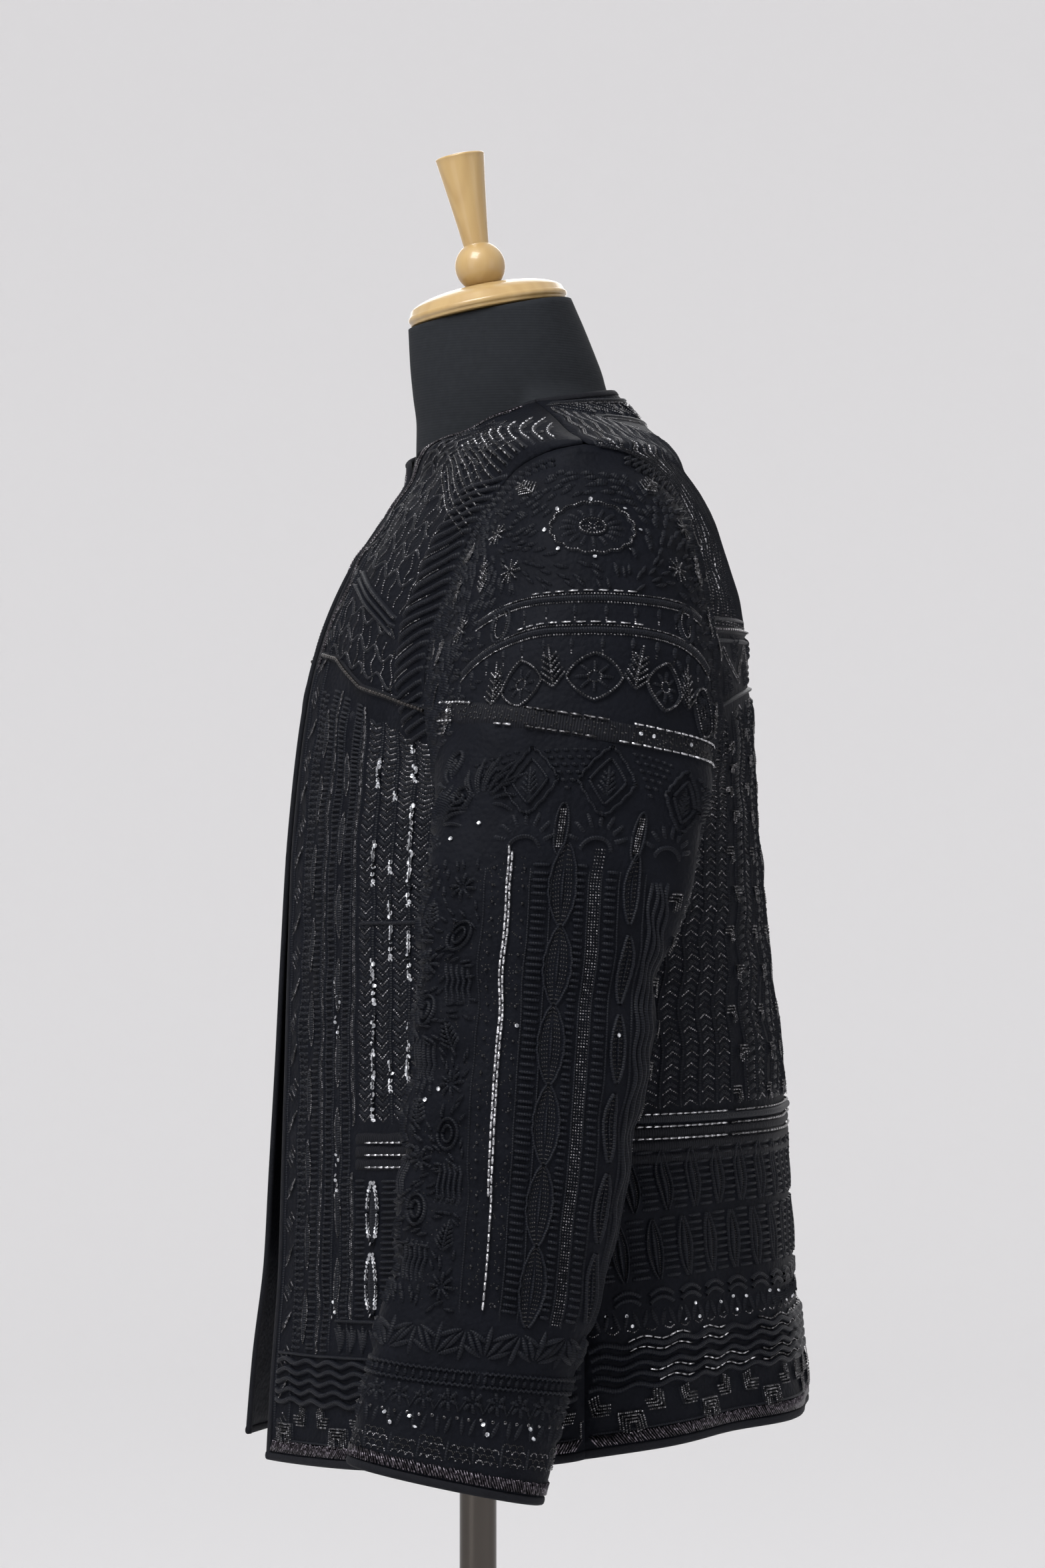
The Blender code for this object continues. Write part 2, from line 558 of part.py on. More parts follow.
def on_columns(half, columns, heights):
    """Points of a panel's own columns at the given heights, with their normals."""
    points, normals = np.zeros((*heights.shape, 3)), np.zeros((*heights.shape, 3))
    for k, j in enumerate(columns):
        for axis in range(3):
            z = half["outer"][:, j, 2]
            points[:, k, axis] = np.interp(heights[:, k], z, half["outer"][:, j, axis])
            normals[:, k, axis] = np.interp(heights[:, k], z, half["normal"][:, j, axis])
    return points, normals / np.linalg.norm(normals, axis=-1, keepdims=True)


def applied(name, material, half, columns, heights, lift, mirrored=False, whole_back=False,
            clear=LAID_ON):
    """A cord or band made from a panel's points, moved out over it."""
    point, normal = on_columns(half, columns, heights)
    inner = point + normal * clear
    outer = inner + normal * lift[:, None, None]
    if whole_back:
        outer, inner = both_halves(outer), both_halves(inner)
    wall(name, material, outer, inner, mirrored=mirrored)


def waist_welts(cloth):
    """Three corded welts round the waist, one strip of three ridges on each panel."""
    crest = np.array([0.0] + [1.0, 0.0] * WELTS)
    rise = np.linspace(0, WELT_SPACING * WELTS, len(crest))
    lift = TRIM_FOOT + WELT_HEIGHT * crest
    for name, half, columns, options in (
            ("waist_welts_left", LEFT_FRONT, range(WELT_FROM, FRONT_ACROSS + 1), {}),
            ("waist_welts_right", LEFT_FRONT, range(WELT_FROM, FRONT_ACROSS + 1), {"mirrored": True}),
            ("waist_welts_back", HALF_BACK, range(BACK_ACROSS + 1), {"whole_back": True})):
        share = half["across"][ROWS_BELOW // 2, list(columns)]
        angle = 90 * share if half is LEFT_FRONT else 180 - 90 * share
        heights = np.interp(angle, WELT_LINE["angle"], WELT_LINE["height"]) + rise[:, None]
        applied(name, cloth, half, columns, heights, lift, **options)


def yoke_cords(cloth):
    """A thick cord under the yoke's embroidery on each front, and one across the back."""
    lift = TRIM_FOOT + WELT_HEIGHT * np.array([0.0, 1.0, 0.0])
    rise = np.linspace(0, YOKE_CORD_WIDTH, 3)[:, None]
    for name, half, line, columns, options in (
            ("yoke_cord_left", LEFT_FRONT, YOKE_FRONT, range(1, FRONT_ACROSS), {}),
            ("yoke_cord_right", LEFT_FRONT, YOKE_FRONT, range(1, FRONT_ACROSS), {"mirrored": True}),
            ("yoke_cord_back", HALF_BACK, YOKE_BACK, range(BACK_ACROSS), {"whole_back": True})):
        share = np.array([j / (half["outer"].shape[1] - 1) for j in columns])
        heights = smooth(line["across"], line["height"], share) + rise
        applied(name, cloth, half, columns, heights, lift, **options)


def armhole_frames(share):
    """Seam points of the armhole with the panel's normal and the direction out of the panel.

    Share 0 is the shoulder tip, 0.25 the front and 0.5 the underarm.
    """
    count = ROWS_ARMHOLE * FINE + 1
    front_z, front_angle = spread(*armhole_line(ARMHOLE_FRONT), count)
    back_z, back_angle = spread(*armhole_line(ARMHOLE_BACK), count)
    z = np.concatenate([front_z[::-1], back_z[1:]])
    angle = np.concatenate([front_angle[::-1], back_angle[1:]])
    own = np.linspace(0, 1, len(z))

    def seam(at):
        return np.interp(at % 1, own, z), np.interp(at % 1, own, angle)

    point, normal = body_point(*seam(share)), body_normal(*seam(share))
    step = 0.006
    along = body_point(*seam(share + step)) - body_point(*seam(share - step))
    outward = np.cross(normal, along)
    outward /= np.linalg.norm(outward, axis=-1, keepdims=True)
    centre = body_point(z, angle).mean(axis=0)
    outward *= np.sign(((centre - point) * outward).sum(-1))[..., None]
    return point, normal, outward


def sleeve_ring(z, share):
    """Point of the hanging sleeve: share 0 is the outside of the arm, 0.25 its front."""
    rising = np.argsort(SLEEVE["z"])
    ring = {name: smooth(SLEEVE["z"][rising], SLEEVE[name][rising], z) for name in SLEEVE if name != "z"}
    turn = even_turn(share)
    reach = 2 / SLEEVE_POWER
    x = ring["half_x"] * np.sign(np.cos(turn)) * np.abs(np.cos(turn)) ** reach
    y = -ring["half_y"] * np.sign(np.sin(turn)) * np.abs(np.sin(turn)) ** reach
    bend = np.zeros(np.broadcast(z, share).shape)
    for row in zip(*(SLEEVE_CREASES[n] for n in ("share", "z", "slope", "reach", "width", "depth"))):
        crease_share, crease_z, slope, crease_reach, width, depth = row
        off = (share - crease_share + 0.5) % 1 - 0.5
        across = z - crease_z - slope * off * SLEEVE_ROUND
        fade = np.clip((CREASE_TOP - z) / CREASE_FADE, 0, 1) * np.clip((z - CREASE_LOW) / CREASE_FADE, 0, 1)
        bend = bend + depth * fade * np.exp(-(off / crease_reach) ** 2 - (across / width) ** 2)
    away = np.hypot(x, y)
    x, y = x + bend * x / away, y + bend * y / away
    return np.stack([ring["centre_x"] + x, ring["centre_y"] + y, z - ring["tilt"] * y], -1)


def even_turn(share):
    """Angle round a sleeve's ring at an even share of its length."""
    turn = np.linspace(0, 2 * math.pi, 721)
    flat = SLEEVE["half_x"][0], SLEEVE["half_y"][0]
    reach = 2 / SLEEVE_POWER
    x = flat[0] * np.sign(np.cos(turn)) * np.abs(np.cos(turn)) ** reach
    y = flat[1] * np.sign(np.sin(turn)) * np.abs(np.sin(turn)) ** reach
    run = np.concatenate([[0], np.cumsum(np.hypot(np.diff(x), np.diff(y)))])
    return np.interp(share, run / run[-1], turn)


def sleeve_grid(count, cap_rows, arm_rows, stop):
    """Outer points of a left sleeve, and the inner points of its first row, at the armhole."""
    share = np.arange(count) / count
    point, normal, outward = armhole_frames(share)
    columns = {name: smooth(SLEEVE_SEAM["share"], SLEEVE_SEAM[name], share)[:, None]
               for name in ("fold", "start_pull", "end_pull")}
    fold = np.radians(columns["fold"])
    gap = SEAM + LAID_ON * np.sin(fold / 2) ** 4
    start = point + gap * (np.cos(fold / 2) * outward + np.sin(fold / 2) * normal)
    start_inner = start + WALL * (np.sin(fold) * outward - np.cos(fold) * normal)
    heading = np.cos(fold) * outward + np.sin(fold) * normal
    top_z = SLEEVE["z"][0]
    end = sleeve_ring(np.full(count, top_z), share)
    below = sleeve_ring(np.full(count, top_z - 0.01), share)
    rise = (end - below) / np.linalg.norm(end - below, axis=-1, keepdims=True)
    handle0 = start + heading * columns["start_pull"]
    handle1 = end + rise * columns["end_pull"]
    rows = []
    for t in np.linspace(0, 1, cap_rows + 1):
        rows.append((1 - t)**3 * start + 3 * (1 - t)**2 * t * handle0
                    + 3 * (1 - t) * t**2 * handle1 + t**3 * end)
    for z in np.linspace(top_z, stop, arm_rows + 1)[1:]:
        rows.append(sleeve_ring(np.full(count, z), share))
    return np.array(rows), start_inner


def grid_normals(grid):
    """Outward directions of a sleeve's grid, whose columns run round and rows run down."""
    around = np.roll(grid, -1, axis=1) - np.roll(grid, 1, axis=1)
    down = np.gradient(grid, axis=0)
    normal = np.cross(around, down)
    return normal / np.linalg.norm(normal, axis=-1, keepdims=True)


def level_out(ring):
    """Level directions out of a sleeve's ring, for its cuff."""
    out = (ring - ring.mean(axis=-2, keepdims=True)) * (1, 1, 0)
    return out / np.linalg.norm(out, axis=-1, keepdims=True)


def sleeve_panel():
    """Outer and inner points of a left sleeve, its columns in line with the rows of the panels."""
    grid, first_inner = sleeve_grid(2 * ROWS_ARMHOLE, CAP_ROWS, ARM_ROWS, CUFF_Z + BINDING_WIDTH + SEAM)
    normal = grid_normals(grid)
    normal[-1] = level_out(grid[-1])
    lift = np.zeros(grid.shape[:2])
    lift[CAP_ROWS + 1:-2, ::2] = RIB
    inner = grid - normal * WALL
    inner[0] = first_inner
    return {"outer": grid + normal * lift[..., None], "inner": inner, "normal": normal}


def sleeves(cloth):
    """One-piece sleeves, each a ring of cloth from the armhole to the cuff's binding."""
    for name, mirrored in (("sleeve_left", False), ("sleeve_right", True)):
        wall(name, cloth, LEFT_SLEEVE["outer"], LEFT_SLEEVE["inner"], ring=True, mirrored=mirrored)


def cuff_bindings(cloth):
    """Plain bindings round the cuffs."""
    count = 2 * ROWS_ARMHOLE
    share = np.arange(count) / count
    grid = np.array([sleeve_ring(np.full(count, z), share) for z in (CUFF_Z + BINDING_WIDTH, CUFF_Z)])
    out = level_out(grid)
    outer, inner = grid + out * BINDING_PROUD, grid - out * (WALL + BINDING_PROUD)
    for name, mirrored in (("cuff_binding_left", False), ("cuff_binding_right", True)):
        wall(name, cloth, outer, inner, ring=True, mirrored=mirrored)


def sleeve_bands(cloth):
    """A raised slanting band on the outside of each sleeve, just below the sleeve head."""
    columns = list(BAND_COLUMNS)
    low = np.linspace(*BAND_ENDS, len(columns))
    heights = low + BAND_WIDTH * np.array([0, 0.15, 0.85, 1.0])[:, None]
    falling = {key: LEFT_SLEEVE[key][::-1] for key in ("outer", "normal")}
    lift = TRIM_FOOT + BAND_HEIGHT * np.array([0.0, 1.0, 1.0, 0.0])
    for name, mirrored in (("sleeve_band_left", False), ("sleeve_band_right", True)):
        applied(name, cloth, falling, columns, heights, lift, mirrored=mirrored, clear=BAND_CLEAR)


def form_ring(z, turn):
    """Point of the dress form: the neck's and the torso's outlines joined with a small fillet."""
    torso = {name: smooth(TORSO["z"], TORSO[name], z) for name in TORSO if name != "z"}
    neck = {name: smooth(NECK["z"], NECK[name], z) for name in NECK if name != "z"}
    c, s = np.cos(turn), np.sin(turn)

    def reach(half, front, behind, side_y, front_power, back_power):
        power = np.where(s < 0, front_power, back_power)
        depth = np.where(s < 0, side_y - front, behind - side_y)
        return (np.abs(c / half) ** power + np.abs(s / depth) ** power) ** (-1 / power)

    neck_r = reach(neck["half"], neck["front_y"], neck["back_y"], FORM_CENTRE_Y, 2.0, 2.0)
    if z > TORSO["z"][-1]:
        r = neck_r
    elif z < NECK["z"][0]:
        r = reach(torso["half"], torso["front_y"], torso["back_y"], FORM_CENTRE_Y,
                  torso["front_power"], torso["back_power"])
    else:
        torso_r = reach(torso["half"], torso["front_y"], torso["back_y"], FORM_CENTRE_Y,
                        torso["front_power"], torso["back_power"])
        r = (neck_r**FORM_FILLET + torso_r**FORM_FILLET) ** (1 / FORM_FILLET)
    y = FORM_CENTRE_Y + r * s
    middle = (neck["front_y"] + neck["back_y"]) / 2
    tilt = neck["tilt"] if z > NECK["z"][1] else 0.0
    return np.stack([r * c, y, z + tilt * (y - middle)], -1)


def form_torso(cover):
    """The covered torso with its neck: closed at the neck's top and at the bottom."""
    t = np.linspace(0, 2 * math.pi, FORM_ROUND, endpoint=False)
    turn = np.arctan2(FORM_DEEP * np.sin(t), FORM_WIDE * np.cos(t))
    rings = np.array([form_ring(z, turn) for z in FORM_HEIGHTS])
    count = len(FORM_HEIGHTS)
    vertices = np.concatenate([rings.reshape(-1, 3), [rings[0].mean(axis=0), rings[-1].mean(axis=0)]])
    bottom, top = count * FORM_ROUND, count * FORM_ROUND + 1
    faces = []
    for j in range(FORM_ROUND):
        k = (j + 1) % FORM_ROUND
        faces.append((bottom, k, j))
        for i in range(count - 1):
            low, high = i * FORM_ROUND, (i + 1) * FORM_ROUND
            faces.append((low + j, low + k, high + k, high + j))
        high = (count - 1) * FORM_ROUND
        faces.append((high + j, high + k, top))
    return mesh_object("form_torso", cover, vertices, faces)


def turned(name, material, profile, sides=32):
    """A turned piece: its profile runs down the outer side, from the axis to the axis."""
    mesh = bpy.data.meshes.new(name)
    mesh.from_pydata([(r, 0, z) for r, z in profile], [(i, i + 1) for i in range(len(profile) - 1)], [])
    mesh.materials.append(material)
    piece = bpy.data.objects.new(name, mesh)
    parts.objects.link(piece)
    screw = piece.modifiers.new("turn", "SCREW")
    screw.angle, screw.screw_offset, screw.axis = 2 * math.pi, 0, "Z"
    screw.steps = screw.render_steps = sides
    screw.use_merge_vertices, screw.merge_threshold = True, 0.00005
    screw.use_smooth_shade = True
    return piece


def round_profile(centre_r, centre_z, radius, start, end, count):
    """Points of an arc in a turned profile, with angles in degrees from straight out."""
    angles = [math.radians(start + (end - start) * i / count) for i in range(count + 1)]
    return [(centre_r + radius * math.cos(a), centre_z + radius * math.sin(a)) for a in angles]


def neck_cap(wood):
    """The turned cap on the neck, square to the neck's leaning axis."""
    dome_radius, steps = CAP_RADIUS - CAP_EDGE, 6
    profile = [(0.0, CAP_HEIGHT)]
    for i in range(1, steps + 1):
        drop = 0.97 * i / steps
        z = CAP_RIM + (CAP_HEIGHT - CAP_RIM) * math.sqrt(1 - drop ** CAP_DOME)
        profile.append((dome_radius * i / steps, z))
    profile += round_profile(dome_radius, CAP_RIM - 0.0010, CAP_EDGE, 60, -60, 3)
    profile += [(CAP_RADIUS - 0.0012, 0.0), (0.0, 0.0)]
    return on_neck(turned("neck_cap", wood, profile, sides=32), SEAM)


def finial(wood):
    """Ball and tapering post, turned in one piece, standing on the cap."""
    centre_z = math.sqrt(FINIAL_BALL**2 - FINIAL_FOOT**2)
    low_r, top_r = FINIAL_POST
    join = math.degrees(math.acos(low_r / FINIAL_BALL))
    foot = -math.degrees(math.asin(centre_z / FINIAL_BALL))
    ball = round_profile(0, centre_z, FINIAL_BALL, join, foot, 8)
    post_z = ball[0][1]
    top_z = post_z + FINIAL_POST_LENGTH
    post = [(0.0, top_z + FINIAL_EDGE), (top_r * 0.6, top_z + FINIAL_EDGE * 2 / 3),
            (top_r - FINIAL_EDGE, top_z), (top_r, top_z - FINIAL_EDGE),
            (low_r + 0.45 * (top_r - low_r), post_z + FINIAL_POST_LENGTH / 2)]
    height = CAP_HEIGHT + 2 * SEAM
    return on_neck(turned("finial", wood, post + ball + [(0.0, 0.0)], sides=24), height)


def on_neck(piece, height):
    """Place a turned piece on the neck's top, along the leaning axis."""
    lean = math.atan(NECK["tilt"][-1])
    middle_y = (NECK["front_y"][-1] + NECK["back_y"][-1]) / 2
    piece.rotation_euler = (lean, 0, 0)
    piece.location = (0, middle_y - height * math.sin(lean), NECK["z"][-1] + height * math.cos(lean))
    return piece


def stand(steel, iron):
    """Round weighted base with a hub, the steel pole, and the plate that carries the torso."""
    socket_r = POLE_RADIUS + SEAM
    socket_low = HUB_HEIGHT - SOCKET_DEPTH
    rim = round_profile(STAND_RADIUS - STAND_ROUND, STAND_THICKNESS - STAND_ROUND, STAND_ROUND, 90, 0, 3)
    turned("stand_base", iron, [
        (0.0, socket_low), (socket_r, socket_low), (socket_r, HUB_HEIGHT),
        (HUB_RADIUS - HUB_EDGE, HUB_HEIGHT), (HUB_RADIUS, HUB_HEIGHT - HUB_EDGE),
        (HUB_RADIUS, STAND_THICKNESS + HUB_FLARE), (HUB_RADIUS + HUB_FLARE, STAND_THICKNESS),
        *rim, (STAND_RADIUS, 0.0), (0.0, 0.0)], sides=40)
    torso_low = TORSO["z"][0]
    plate = turned("form_plate", iron, [
        (0.0, 0.0), (PLATE_RADIUS, 0.0), (PLATE_RADIUS, -PLATE_THICKNESS + PLATE_EDGE),
        (PLATE_RADIUS - PLATE_EDGE, -PLATE_THICKNESS), (HUB_RADIUS, -PLATE_THICKNESS),
        (HUB_RADIUS, -HUB_HEIGHT), (socket_r, -HUB_HEIGHT), (socket_r, -socket_low), (0.0, -socket_low)],
        sides=24)
    plate.location = (0, 0, torso_low - SEAM)
    low = socket_low + SEAM
    high = torso_low - socket_low - 2 * SEAM
    mesh = bpy.data.meshes.new("pole")
    rod = bmesh.new()
    bmesh.ops.create_cone(rod, cap_ends=True, segments=32, radius1=POLE_RADIUS, radius2=POLE_RADIUS,
                          depth=high - low)
    rod.to_mesh(mesh)
    rod.free()
    mesh.materials.append(steel)
    pole = bpy.data.objects.new("pole", mesh)
    pole.location = (0, 0, (high + low) / 2)
    parts.objects.link(pole)


def finish(name, colour, roughness, metallic=0.0):
    """A plain material with the photo's colour."""
    material = bpy.data.materials.new(name)
    material.use_nodes = True
    shader = material.node_tree.nodes["Principled BSDF"]
    shader.inputs["Base Color"].default_value = (*colour, 1)
    shader.inputs["Roughness"].default_value = roughness
    shader.inputs["Metallic"].default_value = metallic
    return material


for old in list(bpy.data.objects):
    bpy.data.objects.remove(old, do_unlink=True)
parts = bpy.data.collections.new("evening_jacket_on_form")
bpy.context.scene.collection.children.link(parts)

FRONT = front_pattern()
BACK = back_pattern()
LEFT_FRONT = front_panel()
HALF_BACK = back_panel()
LEFT_SLEEVE = sleeve_panel()

embroidered = finish("embroidered_cloth", (0.012, 0.013, 0.019), 0.72)
bound = finish("plain_binding", (0.006, 0.007, 0.010), 0.62)
corded = finish("corded_trim", (0.010, 0.011, 0.015), 0.50)
cover = finish("form_cover", (0.022, 0.025, 0.030), 0.85)
wood = finish("lacquered_wood", (0.68, 0.46, 0.22), 0.30)
steel = finish("polished_steel", (0.45, 0.44, 0.43), 0.22, 1.0)
iron = finish("painted_iron", (0.05, 0.05, 0.055), 0.45, 0.3)

fronts_and_back(embroidered)
sleeves(embroidered)
edge_bindings(bound)
cuff_bindings(bound)
waist_welts(corded)
yoke_cords(corded)
sleeve_bands(corded)
form_torso(cover)
neck_cap(wood)
finial(wood)
stand(steel, iron)
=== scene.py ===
"""Looks of a collarless evening jacket, embroidered and beaded tone on tone, on a limbless dress form."""
import math

import bpy
import numpy as np
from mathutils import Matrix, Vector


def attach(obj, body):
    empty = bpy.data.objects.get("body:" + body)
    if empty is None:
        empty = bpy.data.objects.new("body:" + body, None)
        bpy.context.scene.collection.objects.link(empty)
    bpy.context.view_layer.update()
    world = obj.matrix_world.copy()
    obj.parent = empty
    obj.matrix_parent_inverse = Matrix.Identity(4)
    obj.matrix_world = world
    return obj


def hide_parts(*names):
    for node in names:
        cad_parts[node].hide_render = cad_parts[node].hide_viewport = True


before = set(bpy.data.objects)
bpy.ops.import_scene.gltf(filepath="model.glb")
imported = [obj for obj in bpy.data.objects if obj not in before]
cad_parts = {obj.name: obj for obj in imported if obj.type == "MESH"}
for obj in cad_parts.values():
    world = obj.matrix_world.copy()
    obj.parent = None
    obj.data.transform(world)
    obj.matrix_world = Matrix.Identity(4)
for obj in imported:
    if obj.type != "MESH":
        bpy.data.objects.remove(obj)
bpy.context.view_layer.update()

# The photograph is taken level with the waist, square to the wearer's left side and a little from the front,
# in a pale seamless studio with wide soft lamps.
eye = bpy.data.cameras.new("photo_camera")
eye.lens, eye.sensor_width, eye.clip_end = 107.76, 36, 60
camera = bpy.data.objects.new("photo_camera", eye)
bpy.context.scene.collection.objects.link(camera)
camera.matrix_world = (
    Matrix.Translation((2.905, -0.380, 1.090))
    @ Vector((-0.990, 0.139, 0.0344)).to_track_quat("-Z", "Y").to_matrix().to_4x4())
bpy.context.scene.camera = camera
bpy.context.scene.view_settings.view_transform = "Standard"

LAMPS = (
    # name, place, aimed at, width, height, watts
    ("window_over_the_shoulder", (1.25, -1.0, 3.1), (0.1, 0.0, 1.2), 1.2, 1.2, 62),
    ("front_fill", (2.2, -2.6, 1.6), (0.0, 0.0, 1.1), 1.6, 2.2, 16),
    ("back_fill", (2.4, 2.6, 1.9), (0.0, 0.0, 1.1), 1.6, 2.2, 10),
    ("far_side_fill", (-2.6, 0.4, 2.4), (0.0, 0.0, 1.1), 1.8, 1.8, 25),
)
for name, place, aim, width, height, watts in LAMPS:
    lamp = bpy.data.lights.new(name, "AREA")
    lamp.shape, lamp.size, lamp.size_y, lamp.energy = "RECTANGLE", width, height, watts
    holder = bpy.data.objects.new(name, lamp)
    holder.location = place
    holder.rotation_euler = (Vector(aim) - Vector(place)).to_track_quat("-Z", "Y").to_euler()
    bpy.context.scene.collection.objects.link(holder)
room = bpy.data.worlds.new("studio_air")
room.use_nodes = True
room.node_tree.nodes["Background"].inputs["Color"].default_value = (0.98, 0.98, 1.0, 1)
room.node_tree.nodes["Background"].inputs["Strength"].default_value = 0.86
bpy.context.scene.world = room


def mesh_piece(name, finish, points, *faces, uv=None, smooth=True):
    """One mesh object from its points and arrays of faces with three or four corners each."""
    mesh = bpy.data.meshes.new(name)
    corners = np.concatenate([np.asarray(f).ravel() for f in faces]).astype(np.int32)
    sizes = np.concatenate([np.full(len(f), np.shape(f)[1]) for f in faces])
    mesh.vertices.add(len(points))
    mesh.vertices.foreach_set("co", np.ascontiguousarray(points, np.float32).ravel())
    mesh.loops.add(len(corners))
    mesh.loops.foreach_set("vertex_index", corners)
    mesh.polygons.add(len(sizes))
    mesh.polygons.foreach_set("loop_start", np.concatenate([[0], np.cumsum(sizes)[:-1]]).astype(np.int32))
    mesh.update(calc_edges=True)
    if uv is not None:
        layer = mesh.uv_layers.new(name="thread")
        layer.data.foreach_set("uv", np.ascontiguousarray(uv[corners], np.float32).ravel())
    if smooth:
        mesh.shade_smooth()
    mesh.materials.append(finish)
    piece = bpy.data.objects.new(name, mesh)
    bpy.context.scene.collection.objects.link(piece)
    return piece


def new_finish(name, **values):
    """A finish whose shader has the given constant values."""
    finish = bpy.data.materials.new(name)
    finish.use_nodes = True
    for socket, value in values.items():
        finish.node_tree.nodes["Principled BSDF"].inputs[socket.replace("_", " ")].default_value = value
    return finish


def wire(finish, output, socket):
    """Link an output to a socket, or to the shader's socket of that name."""
    if isinstance(socket, str):
        socket = finish.node_tree.nodes["Principled BSDF"].inputs[socket]
    finish.node_tree.links.new(output, socket)


def add_node(finish, kind, vector=None, **values):
    """A node of a finish: names with a capital are its sockets, the others its own settings."""
    node = finish.node_tree.nodes.new("ShaderNode" + kind)
    for name, value in values.items():
        if name[0].isupper():
            node.inputs[name.replace("_", " ")].default_value = value
        else:
            setattr(node, name, value)
    if vector is not None:
        wire(finish, vector, node.inputs["Vector"])
    return node


def two_tones(finish, share, first, second):
    """Colour a finish from a first tone, or an earlier blend, to a second by a texture's output."""
    blend = add_node(finish, "Mix", data_type="RGBA")
    if isinstance(first, tuple):
        blend.inputs[6].default_value = (*first, 1)
    else:
        wire(finish, first, blend.inputs[6])
    blend.inputs[7].default_value = (*second, 1)
    wire(finish, share, blend.inputs[0])
    wire(finish, blend.outputs[2], "Base Color")
    return blend.outputs[2]


def relief(finish, height, strength, depth, under=None, invert=False):
    """Raise a finish a little by a texture's output, over another relief if one is given."""
    raised = add_node(finish, "Bump", invert=invert, Strength=strength, Distance=depth)
    wire(finish, height, raised.inputs["Height"])
    if under is not None:
        wire(finish, under, raised.inputs["Normal"])
    wire(finish, raised.outputs["Normal"], "Normal")
    return raised.outputs["Normal"]


# The studio's floor turns up into its walls in one wide curve. It is matt and almost white, painted with a
# roller, so its tone is a little uneven.
def painted_studio():
    """Matt studio paint."""
    paint = new_finish("studio_paint", Roughness=0.95)
    cloud = add_node(paint, "TexNoise", Scale=0.6)
    two_tones(paint, cloud.outputs["Fac"], (0.895, 0.886, 0.886), (0.92, 0.911, 0.911))
    return paint


def sweep_round(profile, sides):
    """Points and faces of a profile of (radius, height) swept round the stand's axis."""
    turn = np.linspace(0, 2 * math.pi, sides, endpoint=False)
    r, z = np.array(profile, float).T
    outward = np.outer(r, np.cos(turn)), np.outer(r, np.sin(turn))
    points = np.stack([*outward, np.repeat(z[:, None], sides, 1)], -1)
    return points.reshape(-1, 3), grid_faces(len(r), sides, sides)


def grid_faces(rows, columns, across):
    """Faces of a grid of points, with across of them to a row: as many as there are columns if it closes."""
    i, j = np.meshgrid(np.arange(rows - 1), np.arange(across), indexing="ij")
    k = (j + 1) % columns
    faces = [i * columns + j, i * columns + k, (i + 1) * columns + k, (i + 1) * columns + j]
    return np.stack(faces, -1).reshape(-1, 4)


SWEEP, FLOOR_EDGE = 4.0, 9.0     # radius of the curve from floor to wall, and how far out it starts
curve = [(FLOOR_EDGE + SWEEP * math.sin(a), SWEEP - SWEEP * math.cos(a))
         for a in np.linspace(0, math.pi / 2, 14)]
points, faces = sweep_round([(0.001, 0.0), (1.0, 0.0), (3.0, 0.0), (6.0, 0.0)] + curve + [(13.0, 9.0)], 96)
floor = mesh_piece("studio_floor", painted_studio(), points - (0, 0, 0.0005), faces)


# The jacket hangs open from the shoulders: two fronts, a back cut in one, and one-piece sleeves, each a
# wall of cloth and backing 1.8 mm thick. Its form comes from rings round the body and round the sleeves.
WALL = 0.0018
SEAM = 0.0003
CENTRE_BACK_HEM, SIDE_HEM, FRONT_HEM, UNDERARM = 0.8105, 0.7960, 0.7812, 1.1650
SHOULDER_TIP, NECK_POINT, CENTRE_BACK_NECK = 1.3835, 1.4240, 1.4376
ROWS_BELOW, ROWS_ARMHOLE, ROWS_SHOULDER = 10, 12, 4      # rows of faces of the solids
FRONT_ACROSS, BACK_ACROSS = 14, 12
FINE = 6                                                 # points of a pattern for each of those faces
FRONT_EASE, BACK_EASE = (1.8, 1.0), (3.0, 1.6)           # how rows leave the first column, at hem and top


def table(names, *rows):
    """Return a short table as named columns."""
    return {name: np.array(values, float) for name, values in zip(names.split(), zip(*rows))}


